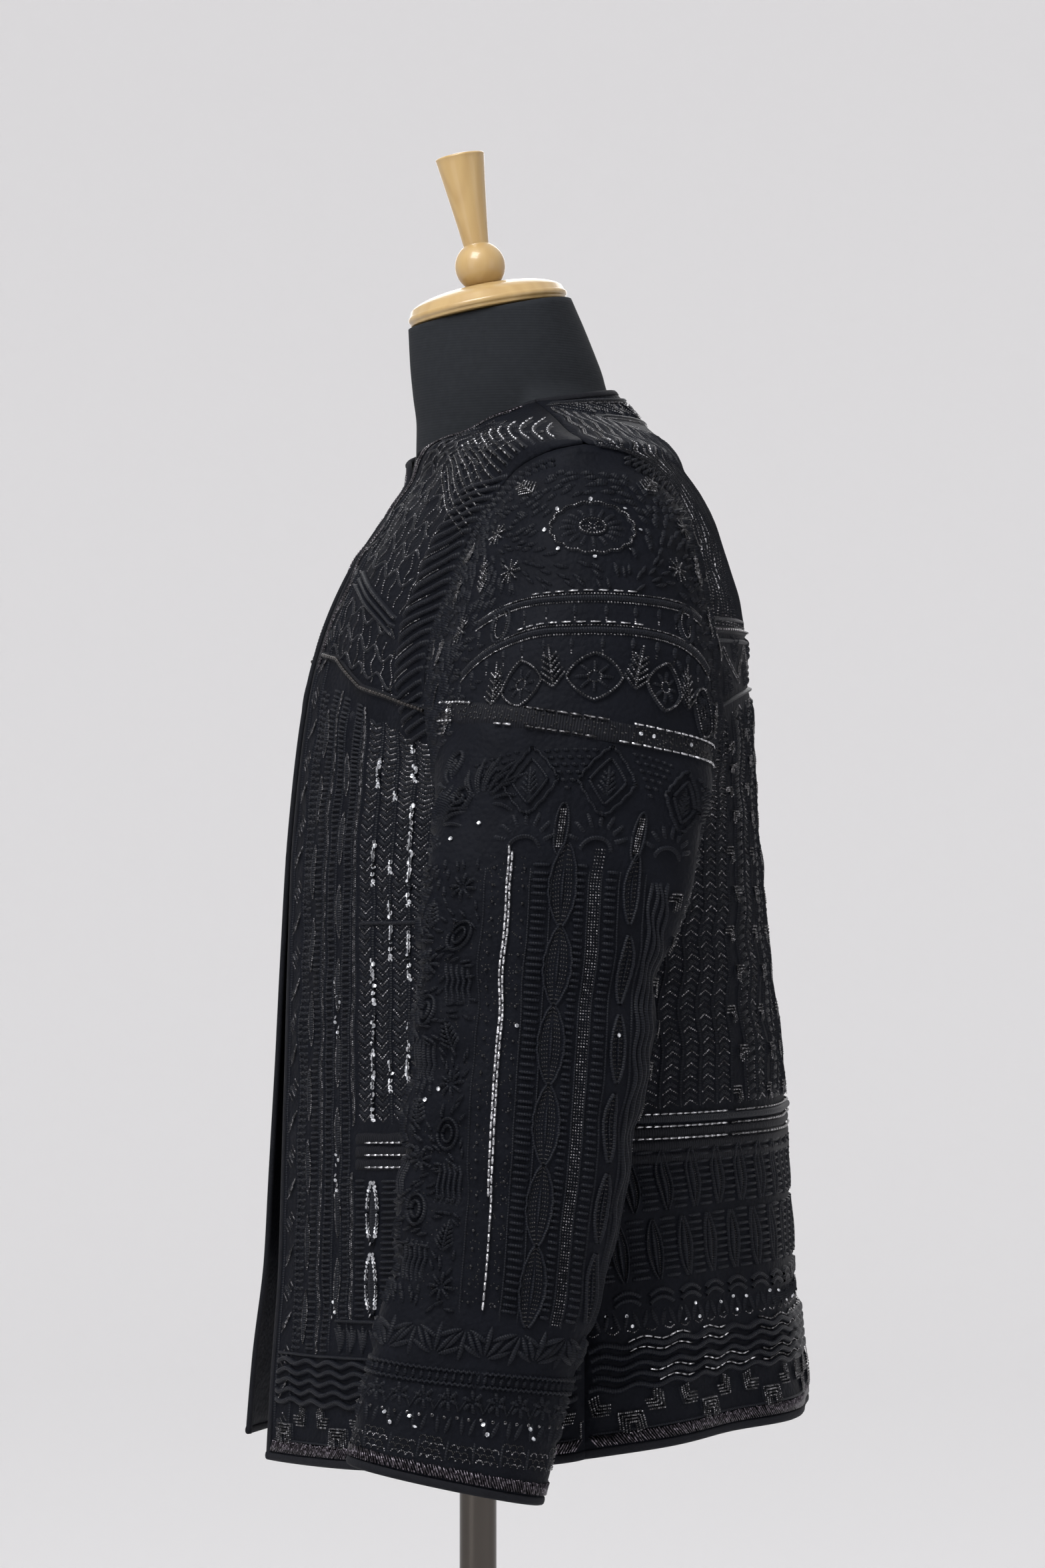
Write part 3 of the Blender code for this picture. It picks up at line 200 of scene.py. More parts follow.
# Rings round the body: half width, where the side lies, and how far the ring reaches at the middle of
# the front and of the back. The powers say how pointed (below 2) or square (above 2) each half is.
BODY = table(
    "z half side_y front_y back_y front_power back_power",
    (0.770, 0.2365, 0.031, -0.1590, 0.2050, 1.60, 2.15),
    (0.828, 0.2330, 0.031, -0.1510, 0.2000, 1.60, 2.15),
    (0.893, 0.2290, 0.032, -0.1384, 0.1920, 1.60, 2.15),
    (0.941, 0.2255, 0.032, -0.1346, 0.1888, 1.60, 2.15),
    (1.015, 0.2200, 0.033, -0.1286, 0.1850, 1.60, 2.15),
    (1.085, 0.2130, 0.034, -0.1240, 0.1765, 1.60, 2.15),
    (1.163, 0.2060, 0.035, -0.1185, 0.1697, 1.60, 2.15),
    (1.246, 0.1990, 0.035, -0.1082, 0.1650, 1.65, 2.15),
    (1.285, 0.1970, 0.035, -0.0980, 0.1616, 1.65, 2.10),
    (1.320, 0.1970, 0.035, -0.0827, 0.1530, 1.70, 2.05),
    (1.348, 0.1985, 0.036, -0.0645, 0.1425, 1.75, 2.00),
    (1.362, 0.1995, 0.036, -0.0545, 0.1358, 1.80, 2.00),
    (1.3835, 0.2000, 0.036, -0.0428, 0.1210, 1.80, 2.00),
    (1.3943, 0.1653, 0.033, -0.0425, 0.1165, 1.80, 2.00),
    (1.4060, 0.1278, 0.031, -0.0215, 0.1090, 1.80, 2.00),
    (1.4168, 0.0931, 0.028, -0.0020, 0.1010, 1.80, 2.00),
    (1.4240, 0.0700, 0.026, 0.0100, 0.0955, 1.90, 2.00),
    (1.4310, 0.0655, 0.026, 0.0110, 0.0905, 2.00, 2.00),
    (1.4376, 0.0620, 0.026, 0.0120, 0.0840, 2.00, 2.00),
)

# The free front edge and the neckline above it: half of the opening at each height
EDGE = table(
    "z gap",
    (0.7812, 0.0745), (0.828, 0.0670), (0.893, 0.0500), (0.941, 0.0440), (1.015, 0.0330), (1.085, 0.0240),
    (1.163, 0.0165), (1.246, 0.0172), (1.300, 0.0180), (1.330, 0.0165), (1.348, 0.0130), (1.362, 0.0108),
    (1.376, 0.0108), (1.384, 0.0132), (1.390, 0.0190), (1.3955, 0.0290), (1.401, 0.0430), (1.406, 0.0550),
    (1.4168, 0.0660), (1.4240, 0.0700),
)

# The armhole seam seen from the side: down the front from the shoulder tip, then up the back
ARMHOLE_FRONT = table(
    "y z",
    (0.0360, 1.3835), (0.0160, 1.3795), (0.0013, 1.3720), (-0.0127, 1.3535), (-0.0255, 1.3310),
    (-0.0346, 1.3045), (-0.0430, 1.2810), (-0.0490, 1.2610), (-0.0511, 1.2435), (-0.0475, 1.2200),
    (-0.0370, 1.1970), (-0.0180, 1.1780), (0.0080, 1.1675), (0.0350, 1.1650),
)
ARMHOLE_BACK = table(
    "y z",
    (0.0360, 1.3835), (0.0620, 1.3800), (0.0871, 1.3690), (0.1030, 1.3460), (0.1125, 1.3115),
    (0.1155, 1.2740), (0.1185, 1.2320), (0.1185, 1.2040), (0.1090, 1.1860), (0.0880, 1.1740),
    (0.0620, 1.1670), (0.0350, 1.1650),
)

# How a sleeve leaves the armhole, round from the shoulder tip over the front: the fold between body and
# sleeve, and how far the cloth runs on before it turns down
SLEEVE_SEAM = table(
    "share fold start_pull end_pull",
    (0.00, 60, 0.062, 0.115), (0.06, 48, 0.058, 0.110), (0.12, 40, 0.052, 0.100), (0.25, 45, 0.040, 0.060),
    (0.38, 100, 0.018, 0.028), (0.50, 140, 0.014, 0.014), (0.62, 100, 0.018, 0.028), (0.75, 45, 0.040, 0.060),
    (0.88, 40, 0.052, 0.100), (0.94, 48, 0.058, 0.110), (1.00, 60, 0.062, 0.115),
)

# Rings round the hanging sleeve, from the upper arm to the cuff; the tilt lowers the back of a ring
SLEEVE = table(
    "z centre_x centre_y half_x half_y tilt",
    (1.130, 0.2475, 0.0155, 0.0355, 0.0775, 0.04),
    (1.074, 0.2535, 0.0030, 0.0345, 0.0710, 0.08),
    (0.984, 0.2630, -0.0105, 0.0340, 0.0655, 0.12),
    (0.910, 0.2700, -0.0240, 0.0340, 0.0595, 0.16),
    (0.836, 0.2770, -0.0440, 0.0350, 0.0560, 0.18),
    (0.7886, 0.2820, -0.0558, 0.0360, 0.0548, 0.22),
)
SLEEVE_POWER = 2.2

# Soft folds of the body cloth: the angle round from the middle of the front, in degrees, their width,
# how far they stand out (or in, below 0) at the hem, and the height at which they have died away
BODY_FOLDS = table(
    "angle width depth top",
    (48, 11, 0.0045, 1.06), (71, 9, -0.0040, 0.98), (104, 10, 0.0050, 1.12), (122, 9, -0.0060, 1.05),
    (140, 10, 0.0055, 1.16), (158, 8, -0.0030, 0.96),
)

# Soft creases of the sleeve: where they lie round the sleeve and along it, their slope, half their
# length round the sleeve, half their width, and their depth
SLEEVE_CREASES = table(
    "share z slope reach width depth",
    (0.20, 1.065, 0.25, 0.15, 0.014, -0.0040), (0.26, 1.010, -0.20, 0.13, 0.012, -0.0045),
    (0.17, 0.955, 0.30, 0.12, 0.012, -0.0035), (0.24, 0.900, -0.15, 0.11, 0.011, -0.0030),
    (0.72, 1.085, -0.35, 0.16, 0.018, -0.0050), (0.78, 0.990, 0.30, 0.12, 0.014, -0.0035),
    (0.55, 1.040, 0.20, 0.14, 0.013, -0.0030),
)


def smooth(xs, ys, x):
    """Interpolate a column with a monotone cubic, so that it never overshoots its rows."""
    x = np.clip(np.asarray(x, float), xs[0], xs[-1])
    step = np.diff(xs)
    slope = np.diff(ys) / step
    tangent = np.zeros(len(xs))
    tangent[0], tangent[-1] = slope[0], slope[-1]
    for i in range(1, len(xs) - 1):
        if slope[i - 1] * slope[i] > 0:
            w0, w1 = 2 * step[i] + step[i - 1], step[i] + 2 * step[i - 1]
            tangent[i] = (w0 + w1) / (w0 / slope[i - 1] + w1 / slope[i])
    i = np.clip(np.searchsorted(xs, x, side="right") - 1, 0, len(step) - 1)
    t = (x - xs[i]) / step[i]
    h = step[i]
    return ((2 * t**3 - 3 * t**2 + 1) * ys[i] + (t**3 - 2 * t**2 + t) * h * tangent[i]
            + (3 * t**2 - 2 * t**3) * ys[i + 1] + (t**3 - t**2) * h * tangent[i + 1])


def body_ring(z):
    """Return every column of the body table at height z."""
    rising = np.argsort(BODY["z"])
    return {name: smooth(BODY["z"][rising], BODY[name][rising], z) for name in BODY if name != "z"}


def body_point(z, angle):
    """Point of the jacket's outer side: angle 0 is the middle of the front, pi the middle of the back."""
    z, angle = np.broadcast_arrays(np.asarray(z, float), np.asarray(angle, float))
    ring = body_ring(z)
    front = angle < math.pi / 2
    power = np.where(front, ring["front_power"], ring["back_power"])
    reach = np.where(front, ring["front_y"], ring["back_y"]) - ring["side_y"]
    x = ring["half"] * np.sign(np.sin(angle)) * np.abs(np.sin(angle)) ** (2 / power)
    y = ring["side_y"] + reach * np.abs(np.cos(angle)) ** (2 / power)
    out = np.zeros(z.shape)
    for fold_angle, width, depth, top in zip(*(BODY_FOLDS[n] for n in ("angle", "width", "depth", "top"))):
        fade = np.clip((top - z) / (top - SIDE_HEM), 0, 1) ** 1.5
        out = out + depth * fade * np.exp(-((np.degrees(angle) - fold_angle) / width) ** 2)
    away = np.hypot(x, y - ring["side_y"])
    return np.stack([x + out * x / away, y + out * (y - ring["side_y"]) / away, z], -1)


def body_normal(z, angle):
    """Outward direction of the jacket's surface."""
    turn, rise = 0.004, 0.0006
    around = body_point(z, angle + turn) - body_point(z, angle - turn)
    up = body_point(z + rise, angle) - body_point(z - rise, angle)
    normal = np.cross(around, up)
    return normal / np.linalg.norm(normal, axis=-1, keepdims=True)


def angle_at_x(z, x):
    """Angle of the front half's point that lies x from the middle."""
    ring = body_ring(z)
    return np.arcsin(np.clip(x / ring["half"], 0, 1) ** (ring["front_power"] / 2))


def angle_at_y(z, y):
    """Angle of the ring's point at the given y."""
    ring = body_ring(z)
    front = y < ring["side_y"]
    power = np.where(front, ring["front_power"], ring["back_power"])
    reach = np.where(front, ring["front_y"], ring["back_y"]) - ring["side_y"]
    turn = np.arccos(np.clip(np.abs((y - ring["side_y"]) / reach), 0, 1) ** (power / 2))
    return np.where(front, turn, math.pi - turn)


def spread(z, angle, count):
    """Resample a line on the body, given by heights and angles, to evenly spaced points."""
    fine = np.linspace(0, 1, 400)
    own = np.linspace(0, 1, len(z))
    z, angle = np.interp(fine, own, z), np.interp(fine, own, angle)
    steps = np.linalg.norm(np.diff(body_point(z, angle), axis=0), axis=1)
    run = np.concatenate([[0], np.cumsum(steps)])
    want = np.linspace(0, run[-1], count)
    return np.interp(want, run, z), np.interp(want, run, angle)


def armhole_line(points):
    """Heights and angles along one side of the armhole, from the underarm up to the shoulder tip."""
    own = np.concatenate([[0], np.cumsum(np.hypot(np.diff(points["y"]), np.diff(points["z"])))])
    fine = np.linspace(0, own[-1], 300)
    y, z = smooth_line(own, points["y"], fine), smooth_line(own, points["z"], fine)
    return z[::-1], angle_at_y(z, y)[::-1]


def smooth_line(run, values, x):
    """Catmull-Rom curve through values at the given run, for lines that turn back."""
    tangent = np.gradient(values, run)
    i = np.clip(np.searchsorted(run, x, side="right") - 1, 0, len(run) - 2)
    h = run[i + 1] - run[i]
    t = (x - run[i]) / h
    return ((2 * t**3 - 3 * t**2 + 1) * values[i] + (t**3 - 2 * t**2 + t) * h * tangent[i]
            + (3 * t**2 - 2 * t**3) * values[i + 1] + (t**3 - t**2) * h * tangent[i + 1])


def boundary(*sections):
    """Join lines, each given with its number of panel rows, into one side of a pattern."""
    heights, angles = [], []
    for line, rows in sections:
        z, angle = spread(*line, rows * FINE + 1)
        heights.append(z if not heights else z[1:])
        angles.append(angle if not angles else angle[1:])
    return np.concatenate(heights), np.concatenate(angles)


def straight(z0, z1, angle):
    """A line up the body at one angle."""
    return np.array([z0, z1]), np.array([angle, angle])


def front_pattern():
    """Points and normals of a left front, from its free edge (first column) to its side (last)."""
    z_low = np.linspace(FRONT_HEM, UNDERARM, 60)
    z_high = np.linspace(UNDERARM, NECK_POINT, 160)
    gap_low, gap_high = (smooth(EDGE["z"], EDGE["gap"], z) for z in (z_low, z_high))
    edge = boundary(((z_low, angle_at_x(z_low, gap_low)), ROWS_BELOW),
                    ((z_high, angle_at_x(z_high, gap_high)), ROWS_ARMHOLE))
    side = boundary((straight(SIDE_HEM, UNDERARM, math.pi / 2), ROWS_BELOW),
                    (armhole_line(ARMHOLE_FRONT), ROWS_ARMHOLE))
    return pattern_between(edge, side, FRONT_ACROSS, FRONT_EASE)


def back_pattern():
    """Points and normals of the left half of the back, from its middle (first column) to its side."""
    middle = boundary((straight(CENTRE_BACK_HEM, UNDERARM, math.pi), ROWS_BELOW),
                      (straight(UNDERARM, CENTRE_BACK_NECK, math.pi), ROWS_ARMHOLE + ROWS_SHOULDER))
    side = boundary((straight(SIDE_HEM, UNDERARM, math.pi / 2), ROWS_BELOW),
                    (armhole_line(ARMHOLE_BACK), ROWS_ARMHOLE),
                    (straight(SHOULDER_TIP, NECK_POINT, math.pi / 2), ROWS_SHOULDER))
    return pattern_between(middle, side, BACK_ACROSS, BACK_EASE)


def pattern_between(first, last, across, ease):
    """Draw rows between two boundaries and space their points evenly.

    An ease of 1 gives straight rows; above 1 they start level, as at the middle of the back.
    It is given for the lowest and for the highest row.
    """
    points, normals = [], []
    share = np.linspace(0, 1, 60)
    for z0, a0, z1, a1, power in zip(*first, *last, np.linspace(*ease, len(first[0]))):
        z, angle = spread(z0 + (z1 - z0) * share**power, a0 + (a1 - a0) * share, across * FINE + 1)
        points.append(body_point(z, angle))
        normals.append(body_normal(z, angle))
    return np.array(points), np.array(normals)


def on_pattern(pattern, across, up):
    """Point and normal of a pattern at shares across and up it, each from 0 to 1."""
    result = []
    for grid in pattern:
        rows, columns = grid.shape[0] - 1, grid.shape[1] - 1
        r, c = np.clip(up, 0, 1) * rows, np.clip(across, 0, 1) * columns
        i, j = np.minimum(r.astype(int), rows - 1), np.minimum(c.astype(int), columns - 1)
        s, t = (r - i)[..., None], (c - j)[..., None]
        result.append((1 - s) * (1 - t) * grid[i, j] + (1 - s) * t * grid[i, j + 1]
                      + s * (1 - t) * grid[i + 1, j] + s * t * grid[i + 1, j + 1])
    point, normal = result
    return point, normal / np.linalg.norm(normal, axis=-1, keepdims=True)


def chart(pattern, heights, shares, ring=False):
    """A panel's surface with real lengths on it: heights up the panel and the length of every row."""
    lengths = np.linalg.norm(np.diff(pattern[0], axis=1), axis=2).sum(axis=1)
    return {"pattern": pattern, "heights": np.array(heights), "shares": np.array(shares), "lengths": lengths,
            "own": np.linspace(0, 1, len(lengths)), "ring": ring}


def from_ends(count):
    """How far each of a row of points lies from the nearer end."""
    return np.minimum(np.arange(count), np.arange(count)[::-1])


def puckered(pattern, seed, depth=0.0007, ripples=26, level=5, rim=4):
    """Draw the panel in a little between its stitches, as cloth does under close embroidery.

    Ripples of chance length and direction are added up and brought to a level of about 1. They die away
    in the last points before the rim.
    """
    point, normal = pattern
    chance = np.random.default_rng(seed)
    lift = np.zeros(point.shape[:2])
    for _ in range(ripples):
        ripple, lean, shift = chance.uniform(90, 240), chance.uniform(0, 2 * math.pi), chance.uniform(0, 6.28)
        along = point[..., 2] * math.cos(lean) + (point[..., 0] + point[..., 1]) * math.sin(lean) * 0.7
        lift = lift + np.sin(along * ripple + shift)
    inside = np.minimum.outer(from_ends(lift.shape[0]), from_ends(lift.shape[1]))
    lift = lift / level * depth * np.clip(inside / rim, 0, 1)
    return point + normal * lift[..., None], normal


def shares_of(panel, in_from_edge, height):
    """Shares across and up a panel of places given in metres from its first column and up from its hem."""
    up = np.interp(height, panel["heights"], panel["shares"])
    return in_from_edge / np.interp(up, panel["own"], panel["lengths"]), up


def on_panel(panel, in_from_edge, height):
    """Point and normal of a panel at real distances."""
    across, up = shares_of(panel, *np.broadcast_arrays(in_from_edge, height))
    return on_pattern(panel["pattern"], across % 1 if panel["ring"] else across, up)


def wall_faces(rows, columns, ring):
    """Faces of a wall whose outer grid comes first and its inner grid second, closed at its rims."""
    last = columns if ring else columns - 1
    out = grid_faces(rows, columns, last)
    size = rows * columns
    j = np.arange(last)
    k = (j + 1) % columns
    top = (rows - 1) * columns
    faces = [out, out[:, ::-1] + size, np.stack([j, j + size, k + size, k], -1),
             np.stack([k, k + size, j + size, j], -1) + top]
    if not ring:
        i = np.arange(rows - 1) * columns
        faces += [np.stack([i + columns, i + columns + size, i + size, i], -1),
                  np.stack([i, i + size, i + columns + size, i + columns], -1) + columns - 1]
    return np.concatenate(faces)


def run_along(grid, axis):
    """Distance of each point of a grid from its first row or column, along the cloth."""
    steps = np.cumsum(np.linalg.norm(np.diff(grid, axis=axis), axis=2), axis)
    return np.concatenate([np.zeros_like(steps.take([0], axis)), steps], axis)


def cloth_wall(name, finish, outer, inner, ring=False, mirrored=False):
    """A wall of cloth between an outer and an inner grid; its thread map is in metres."""
    rows, columns = outer.shape[:2]
    faces = wall_faces(rows, columns, ring)
    points = np.concatenate([outer.reshape(-1, 3), inner.reshape(-1, 3)])
    uv = np.tile(np.stack([run_along(outer, 1), run_along(outer, 0)], -1).reshape(-1, 2), (2, 1))
    if mirrored:
        points, faces = points * (-1, 1, 1), faces[:, ::-1]
    return mesh_piece(name, finish, points, faces, uv=uv)


def both_halves(grid):
    """Join a grid that starts at the middle of the back with its mirror image."""
    grid = grid.copy()
    grid[:, 0, 0] = 0
    return np.concatenate([grid[:, :0:-1], grid * (-1, 1, 1)], axis=1)


def jacket_cloth():
    """Near-black navy cloth filled with close tone-on-tone stitches that stand up in pebbles and rows."""
    cloth = new_finish("navy_embroidered_ground", Roughness=0.62, Specular_IOR_Level=0.05)
    place = add_node(cloth, "TexCoord").outputs["Object"]
    tint = add_node(cloth, "TexNoise", place, Scale=55, Detail=6)
    # the ground's tones are set darker than the raised threads', painted shade on the ground between the rows
    two_tones(cloth, tint.outputs["Fac"], (0.0026, 0.0030, 0.0047), (0.0060, 0.0068, 0.0101))
    pebbles = add_node(cloth, "TexVoronoi", place, feature="SMOOTH_F1", Scale=330, Smoothness=0.6)
    stitches = add_node(cloth, "TexNoise", place, Scale=900, Detail=4)
    deep = relief(cloth, pebbles.outputs["Distance"], 0.55, 0.0009, invert=True)
    relief(cloth, stitches.outputs["Fac"], 0.45, 0.0004, under=deep)
    return cloth


def stands_for(piece, node):
    """Put a piece in the place of a solid. All of them belong to the one body."""
    if node:
        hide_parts(node)
    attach(piece, "root")
    return piece


navy = jacket_cloth()
SIDES = ("left", False), ("right", True)     # each side, and whether it is the left one's mirror image
FRONT_HEIGHTS = 0.0, 0.384, 0.715            # up the cloth: its hem, its underarm and its shoulder
FRONT_SHARES = 0.0, ROWS_BELOW / (ROWS_BELOW + ROWS_ARMHOLE), 1.0
FRONT = chart(puckered(front_pattern(), 3), FRONT_HEIGHTS, FRONT_SHARES)
columns, rows, under_binding = 43, 100, 0.0020
up = np.linspace(0.003, 0.9992, rows)[:, None]
length = np.interp(up[:, 0], FRONT["own"], FRONT["lengths"])[:, None]
inside = under_binding / length + (1 - under_binding / length) * np.linspace(0, 1, columns)
point, normal = on_pattern(FRONT["pattern"], inside, np.repeat(up, columns, 1))
for side, mirrored in SIDES:
    piece = cloth_wall(f"front_{side}_cloth", navy, point, point - normal * WALL, mirrored=mirrored)
    stands_for(piece, f"front_{side}")

BACK_HEIGHTS = 0.0, 0.358, 0.707
BACK_ROWS = ROWS_BELOW + ROWS_ARMHOLE + ROWS_SHOULDER
BACK = chart(puckered(back_pattern(), 5), BACK_HEIGHTS, (0.0, ROWS_BELOW / BACK_ROWS, 1.0))
columns, rows = 31, 104
up = np.linspace(0.003, 0.997, rows)[:, None]
inside = np.repeat(np.linspace(0, 1, columns)[None], rows, 0)
point, normal = on_pattern(BACK["pattern"], inside, np.repeat(up, columns, 1))
piece = cloth_wall("back_cloth", navy, both_halves(point), both_halves(point - normal * WALL))
stands_for(piece, "back")


# Each sleeve is one ring of the same cloth, eased into the armhole so that its head stands round over the
# shoulder. It hangs forward and turns back a little on its way to the cuff.
CUFF_Z = 0.7886
LAID_ON = 0.0006                             # clearance over the panel's own facets
CROWN = 0.629                                # from the cuff up the cloth to the top of the sleeve head
AROUND, HEAD_ROWS, ARM_ROWS = 192, 48, 80    # points round the sleeve's pattern, and its rows
EASED = 90                                   # how often the head's rows are evened out
CREASE_ENDS = 1.13, 0.80                     # heights at which the creases have died away


def armhole_frames(share):
    """Seam points of the armhole with the panel's normal and the direction out of the panel.

    Share 0 is the shoulder tip, 0.25 the front and 0.5 the underarm.
    """
    step = 0.006
    count = ROWS_ARMHOLE * FINE + 1
    front_z, front_angle = spread(*armhole_line(ARMHOLE_FRONT), count)
    back_z, back_angle = spread(*armhole_line(ARMHOLE_BACK), count)
    z = np.concatenate([front_z[::-1], back_z[1:]])
    angle = np.concatenate([front_angle[::-1], back_angle[1:]])
    own = np.linspace(0, 1, len(z))

    def seam(at):
        return np.interp(at % 1, own, z), np.interp(at % 1, own, angle)

    point, normal = body_point(*seam(share)), body_normal(*seam(share))
    along = body_point(*seam(share + step)) - body_point(*seam(share - step))
    outward = np.cross(normal, along)
    outward /= np.linalg.norm(outward, axis=-1, keepdims=True)
    centre = body_point(z, angle).mean(axis=0)
    outward *= np.sign(((centre - point) * outward).sum(-1))[..., None]
    return point, normal, outward


def sleeve_ring(z, share):
    """Point of the hanging sleeve: share 0 is the outside of the arm, 0.25 its front."""
    rising = np.argsort(SLEEVE["z"])
    ring = {name: smooth(SLEEVE["z"][rising], SLEEVE[name][rising], z) for name in SLEEVE if name != "z"}
    x, y = sleeve_oval(even_turn(share), ring["half_x"], -ring["half_y"])
    bend = np.zeros(np.broadcast(z, share).shape)
    for row in zip(*(SLEEVE_CREASES[n] for n in ("share", "z", "slope", "reach", "width", "depth"))):
        crease_share, crease_z, slope, crease_reach, width, depth = row
        off = (share - crease_share + 0.5) % 1 - 0.5
        across = z - crease_z - slope * off * 0.36
        fade = np.clip((CREASE_ENDS[0] - z) / 0.04, 0, 1) * np.clip((z - CREASE_ENDS[1]) / 0.04, 0, 1)
        bend = bend + depth * fade * np.exp(-(off / crease_reach) ** 2 - (across / width) ** 2)
    away = np.hypot(x, y)
    x, y = x + bend * x / away, y + bend * y / away
    return np.stack([ring["centre_x"] + x, ring["centre_y"] + y, z - ring["tilt"] * y], -1)


def sleeve_oval(turn, half_x, half_y):
    """Points of a sleeve's outline, a slightly squared oval."""
    c, s = np.cos(turn), np.sin(turn)
    reach = 2 / SLEEVE_POWER
    return half_x * np.sign(c) * np.abs(c) ** reach, half_y * np.sign(s) * np.abs(s) ** reach


def even_turn(share):
    """Angle round a sleeve's ring at an even share of its length."""
    turn = np.linspace(0, 2 * math.pi, 721)
    x, y = sleeve_oval(turn, SLEEVE["half_x"][0], SLEEVE["half_y"][0])
    run = np.concatenate([[0], np.cumsum(np.hypot(np.diff(x), np.diff(y)))])
    return np.interp(share, run / run[-1], turn)


def sleeve_grid(count, head_rows, arm_rows, stop):
    """Outer points of a left sleeve, from the armhole down to the cuff."""
    share = np.arange(count) / count
    point, normal, outward = armhole_frames(share)
    columns = {name: smooth(SLEEVE_SEAM["share"], SLEEVE_SEAM[name], share)[:, None]
               for name in ("fold", "start_pull", "end_pull")}
    fold = np.radians(columns["fold"])
    gap = SEAM + LAID_ON * np.sin(fold / 2) ** 4
    start = point + gap * (np.cos(fold / 2) * outward + np.sin(fold / 2) * normal)
    heading = np.cos(fold) * outward + np.sin(fold) * normal
    top_z = SLEEVE["z"][0]
    end = sleeve_ring(np.full(count, top_z), share)
    below = sleeve_ring(np.full(count, top_z - 0.01), share)
    rise = (end - below) / np.linalg.norm(end - below, axis=-1, keepdims=True)
    handle0 = start + heading * columns["start_pull"]
    handle1 = end + rise * columns["end_pull"]
    rows = []
    for t in np.linspace(0, 1, head_rows + 1):
        rows.append((1 - t)**3 * start + 3 * (1 - t)**2 * t * handle0
                    + 3 * (1 - t) * t**2 * handle1 + t**3 * end)
    for z in np.linspace(top_z, stop, arm_rows + 1)[1:]:
        rows.append(sleeve_ring(np.full(count, z), share))
    return np.array(rows)


def grid_normals(grid):
    """Outward directions of a sleeve's grid, whose columns run round and rows run down."""
    around = np.roll(grid, -1, axis=1) - np.roll(grid, 1, axis=1)
    down = np.gradient(grid, axis=0)
    normal = np.cross(around, down)
    return normal / np.linalg.norm(normal, axis=-1, keepdims=True)


grid = sleeve_grid(AROUND, HEAD_ROWS, ARM_ROWS, CUFF_Z)
head = grid[:HEAD_ROWS + 1]
row = np.arange(HEAD_ROWS + 1)
ease = np.clip(np.minimum(row / 6, (HEAD_ROWS - row) / 10), 0, 0.5)[:, None, None]
for _ in range(EASED):
    head += ease * ((np.roll(head, 1, 1) + np.roll(head, -1, 1)) / 2 - head)
normal = grid_normals(grid)
grid, normal = (np.concatenate([g, g[:, :1]], axis=1) for g in (grid, normal))
SLEEVE_CLOTH = chart(puckered((grid, normal), 7, 0.0008), (0.0, 0.351, CROWN),
                     (1.0, HEAD_ROWS / (HEAD_ROWS + ARM_ROWS), 0.0), ring=True)
columns, rows = 84, 88
share = np.repeat(np.linspace(0, 1, columns, endpoint=False)[None], rows, 0)
down = np.repeat(np.linspace(0.0005, 0.994, rows)[:, None], columns, 1)
point, normal = on_pattern(SLEEVE_CLOTH["pattern"], share, down)
for side, mirrored in SIDES:
    inside = point - normal * WALL
    piece = cloth_wall(f"sleeve_{side}_cloth", navy, point, inside, ring=True, mirrored=mirrored)
    stands_for(piece, f"sleeve_{side}")


# Every free edge is bound with a strip of plain dull cloth, cut on the bias, folded over the edge and felled
# inside by hand. It is 4.5 mm wide on both sides.
BINDING_WIDTH = 0.0045
FOLD = table("inward out", (0.0046, -0.0002), (0.0044, 0.0006), (0.0034, 0.0009), (0.0022, 0.0010),
             (0.0009, 0.0008), (0.0001, 0.0002), (-0.0003, -0.0009), (0.0001, -0.0020), (0.0009, -0.0026),
             (0.0022, -0.0028), (0.0034, -0.0026), (0.0044, -0.0023), (0.0046, -0.0016))


def binding_cloth():
    """Plain twill cut on the bias, dull, with its fine slanting ribs."""
    cloth = new_finish("plain_bias_binding", Roughness=0.75, Specular_IOR_Level=0.10)
    place = add_node(cloth, "TexCoord").outputs["Object"]
    lint = add_node(cloth, "TexNoise", place, Scale=130)
    two_tones(cloth, lint.outputs["Fac"], (0.0048, 0.0052, 0.0072), (0.0095, 0.0100, 0.0130))
    twill = add_node(cloth, "TexWave", place, bands_direction="DIAGONAL", Scale=260, Distortion=1.2,
                     Detail_Scale=40)
    relief(cloth, twill.outputs["Fac"], 0.4, 0.0003)
    return cloth


def closed_strip(name, finish, rings, looped, mirrored):
    """A long piece with a closed outline: rings of points along it, its ends closed unless it is a loop."""
    count, outline = rings.shape[:2]
    i, j = np.meshgrid(np.arange(count if looped else count - 1), np.arange(outline), indexing="ij")
    k, n = (j + 1) % outline, (i + 1) % count
    corners = [i * outline + j, i * outline + k, n * outline + k, n * outline + j]
    faces = [np.stack(corners, -1).reshape(-1, 4)]
    points = rings.reshape(-1, 3)
    if not looped:
        points = np.concatenate([points, rings[:1].mean(axis=1), rings[-1:].mean(axis=1)])
        j = np.arange(outline)
        k, last = (j + 1) % outline, (count - 1) * outline
        faces += [np.stack([k, j, np.full(outline, count * outline)], -1),
                  np.stack([j + last, k + last, np.full(outline, count * outline + 1)], -1)]
    a, b, c = np.moveaxis(points[faces[0]], 1, 0)[:3]
    inside_out = np.einsum("ij,ij->i", a - points.mean(0), np.cross(b - a, c - a)).sum() < 0
    if mirrored:
        points, inside_out = points * (-1, 1, 1), not inside_out
    if inside_out:
        faces = [f[:, ::-1] for f in faces]
    return mesh_piece(name, finish, points, *faces)


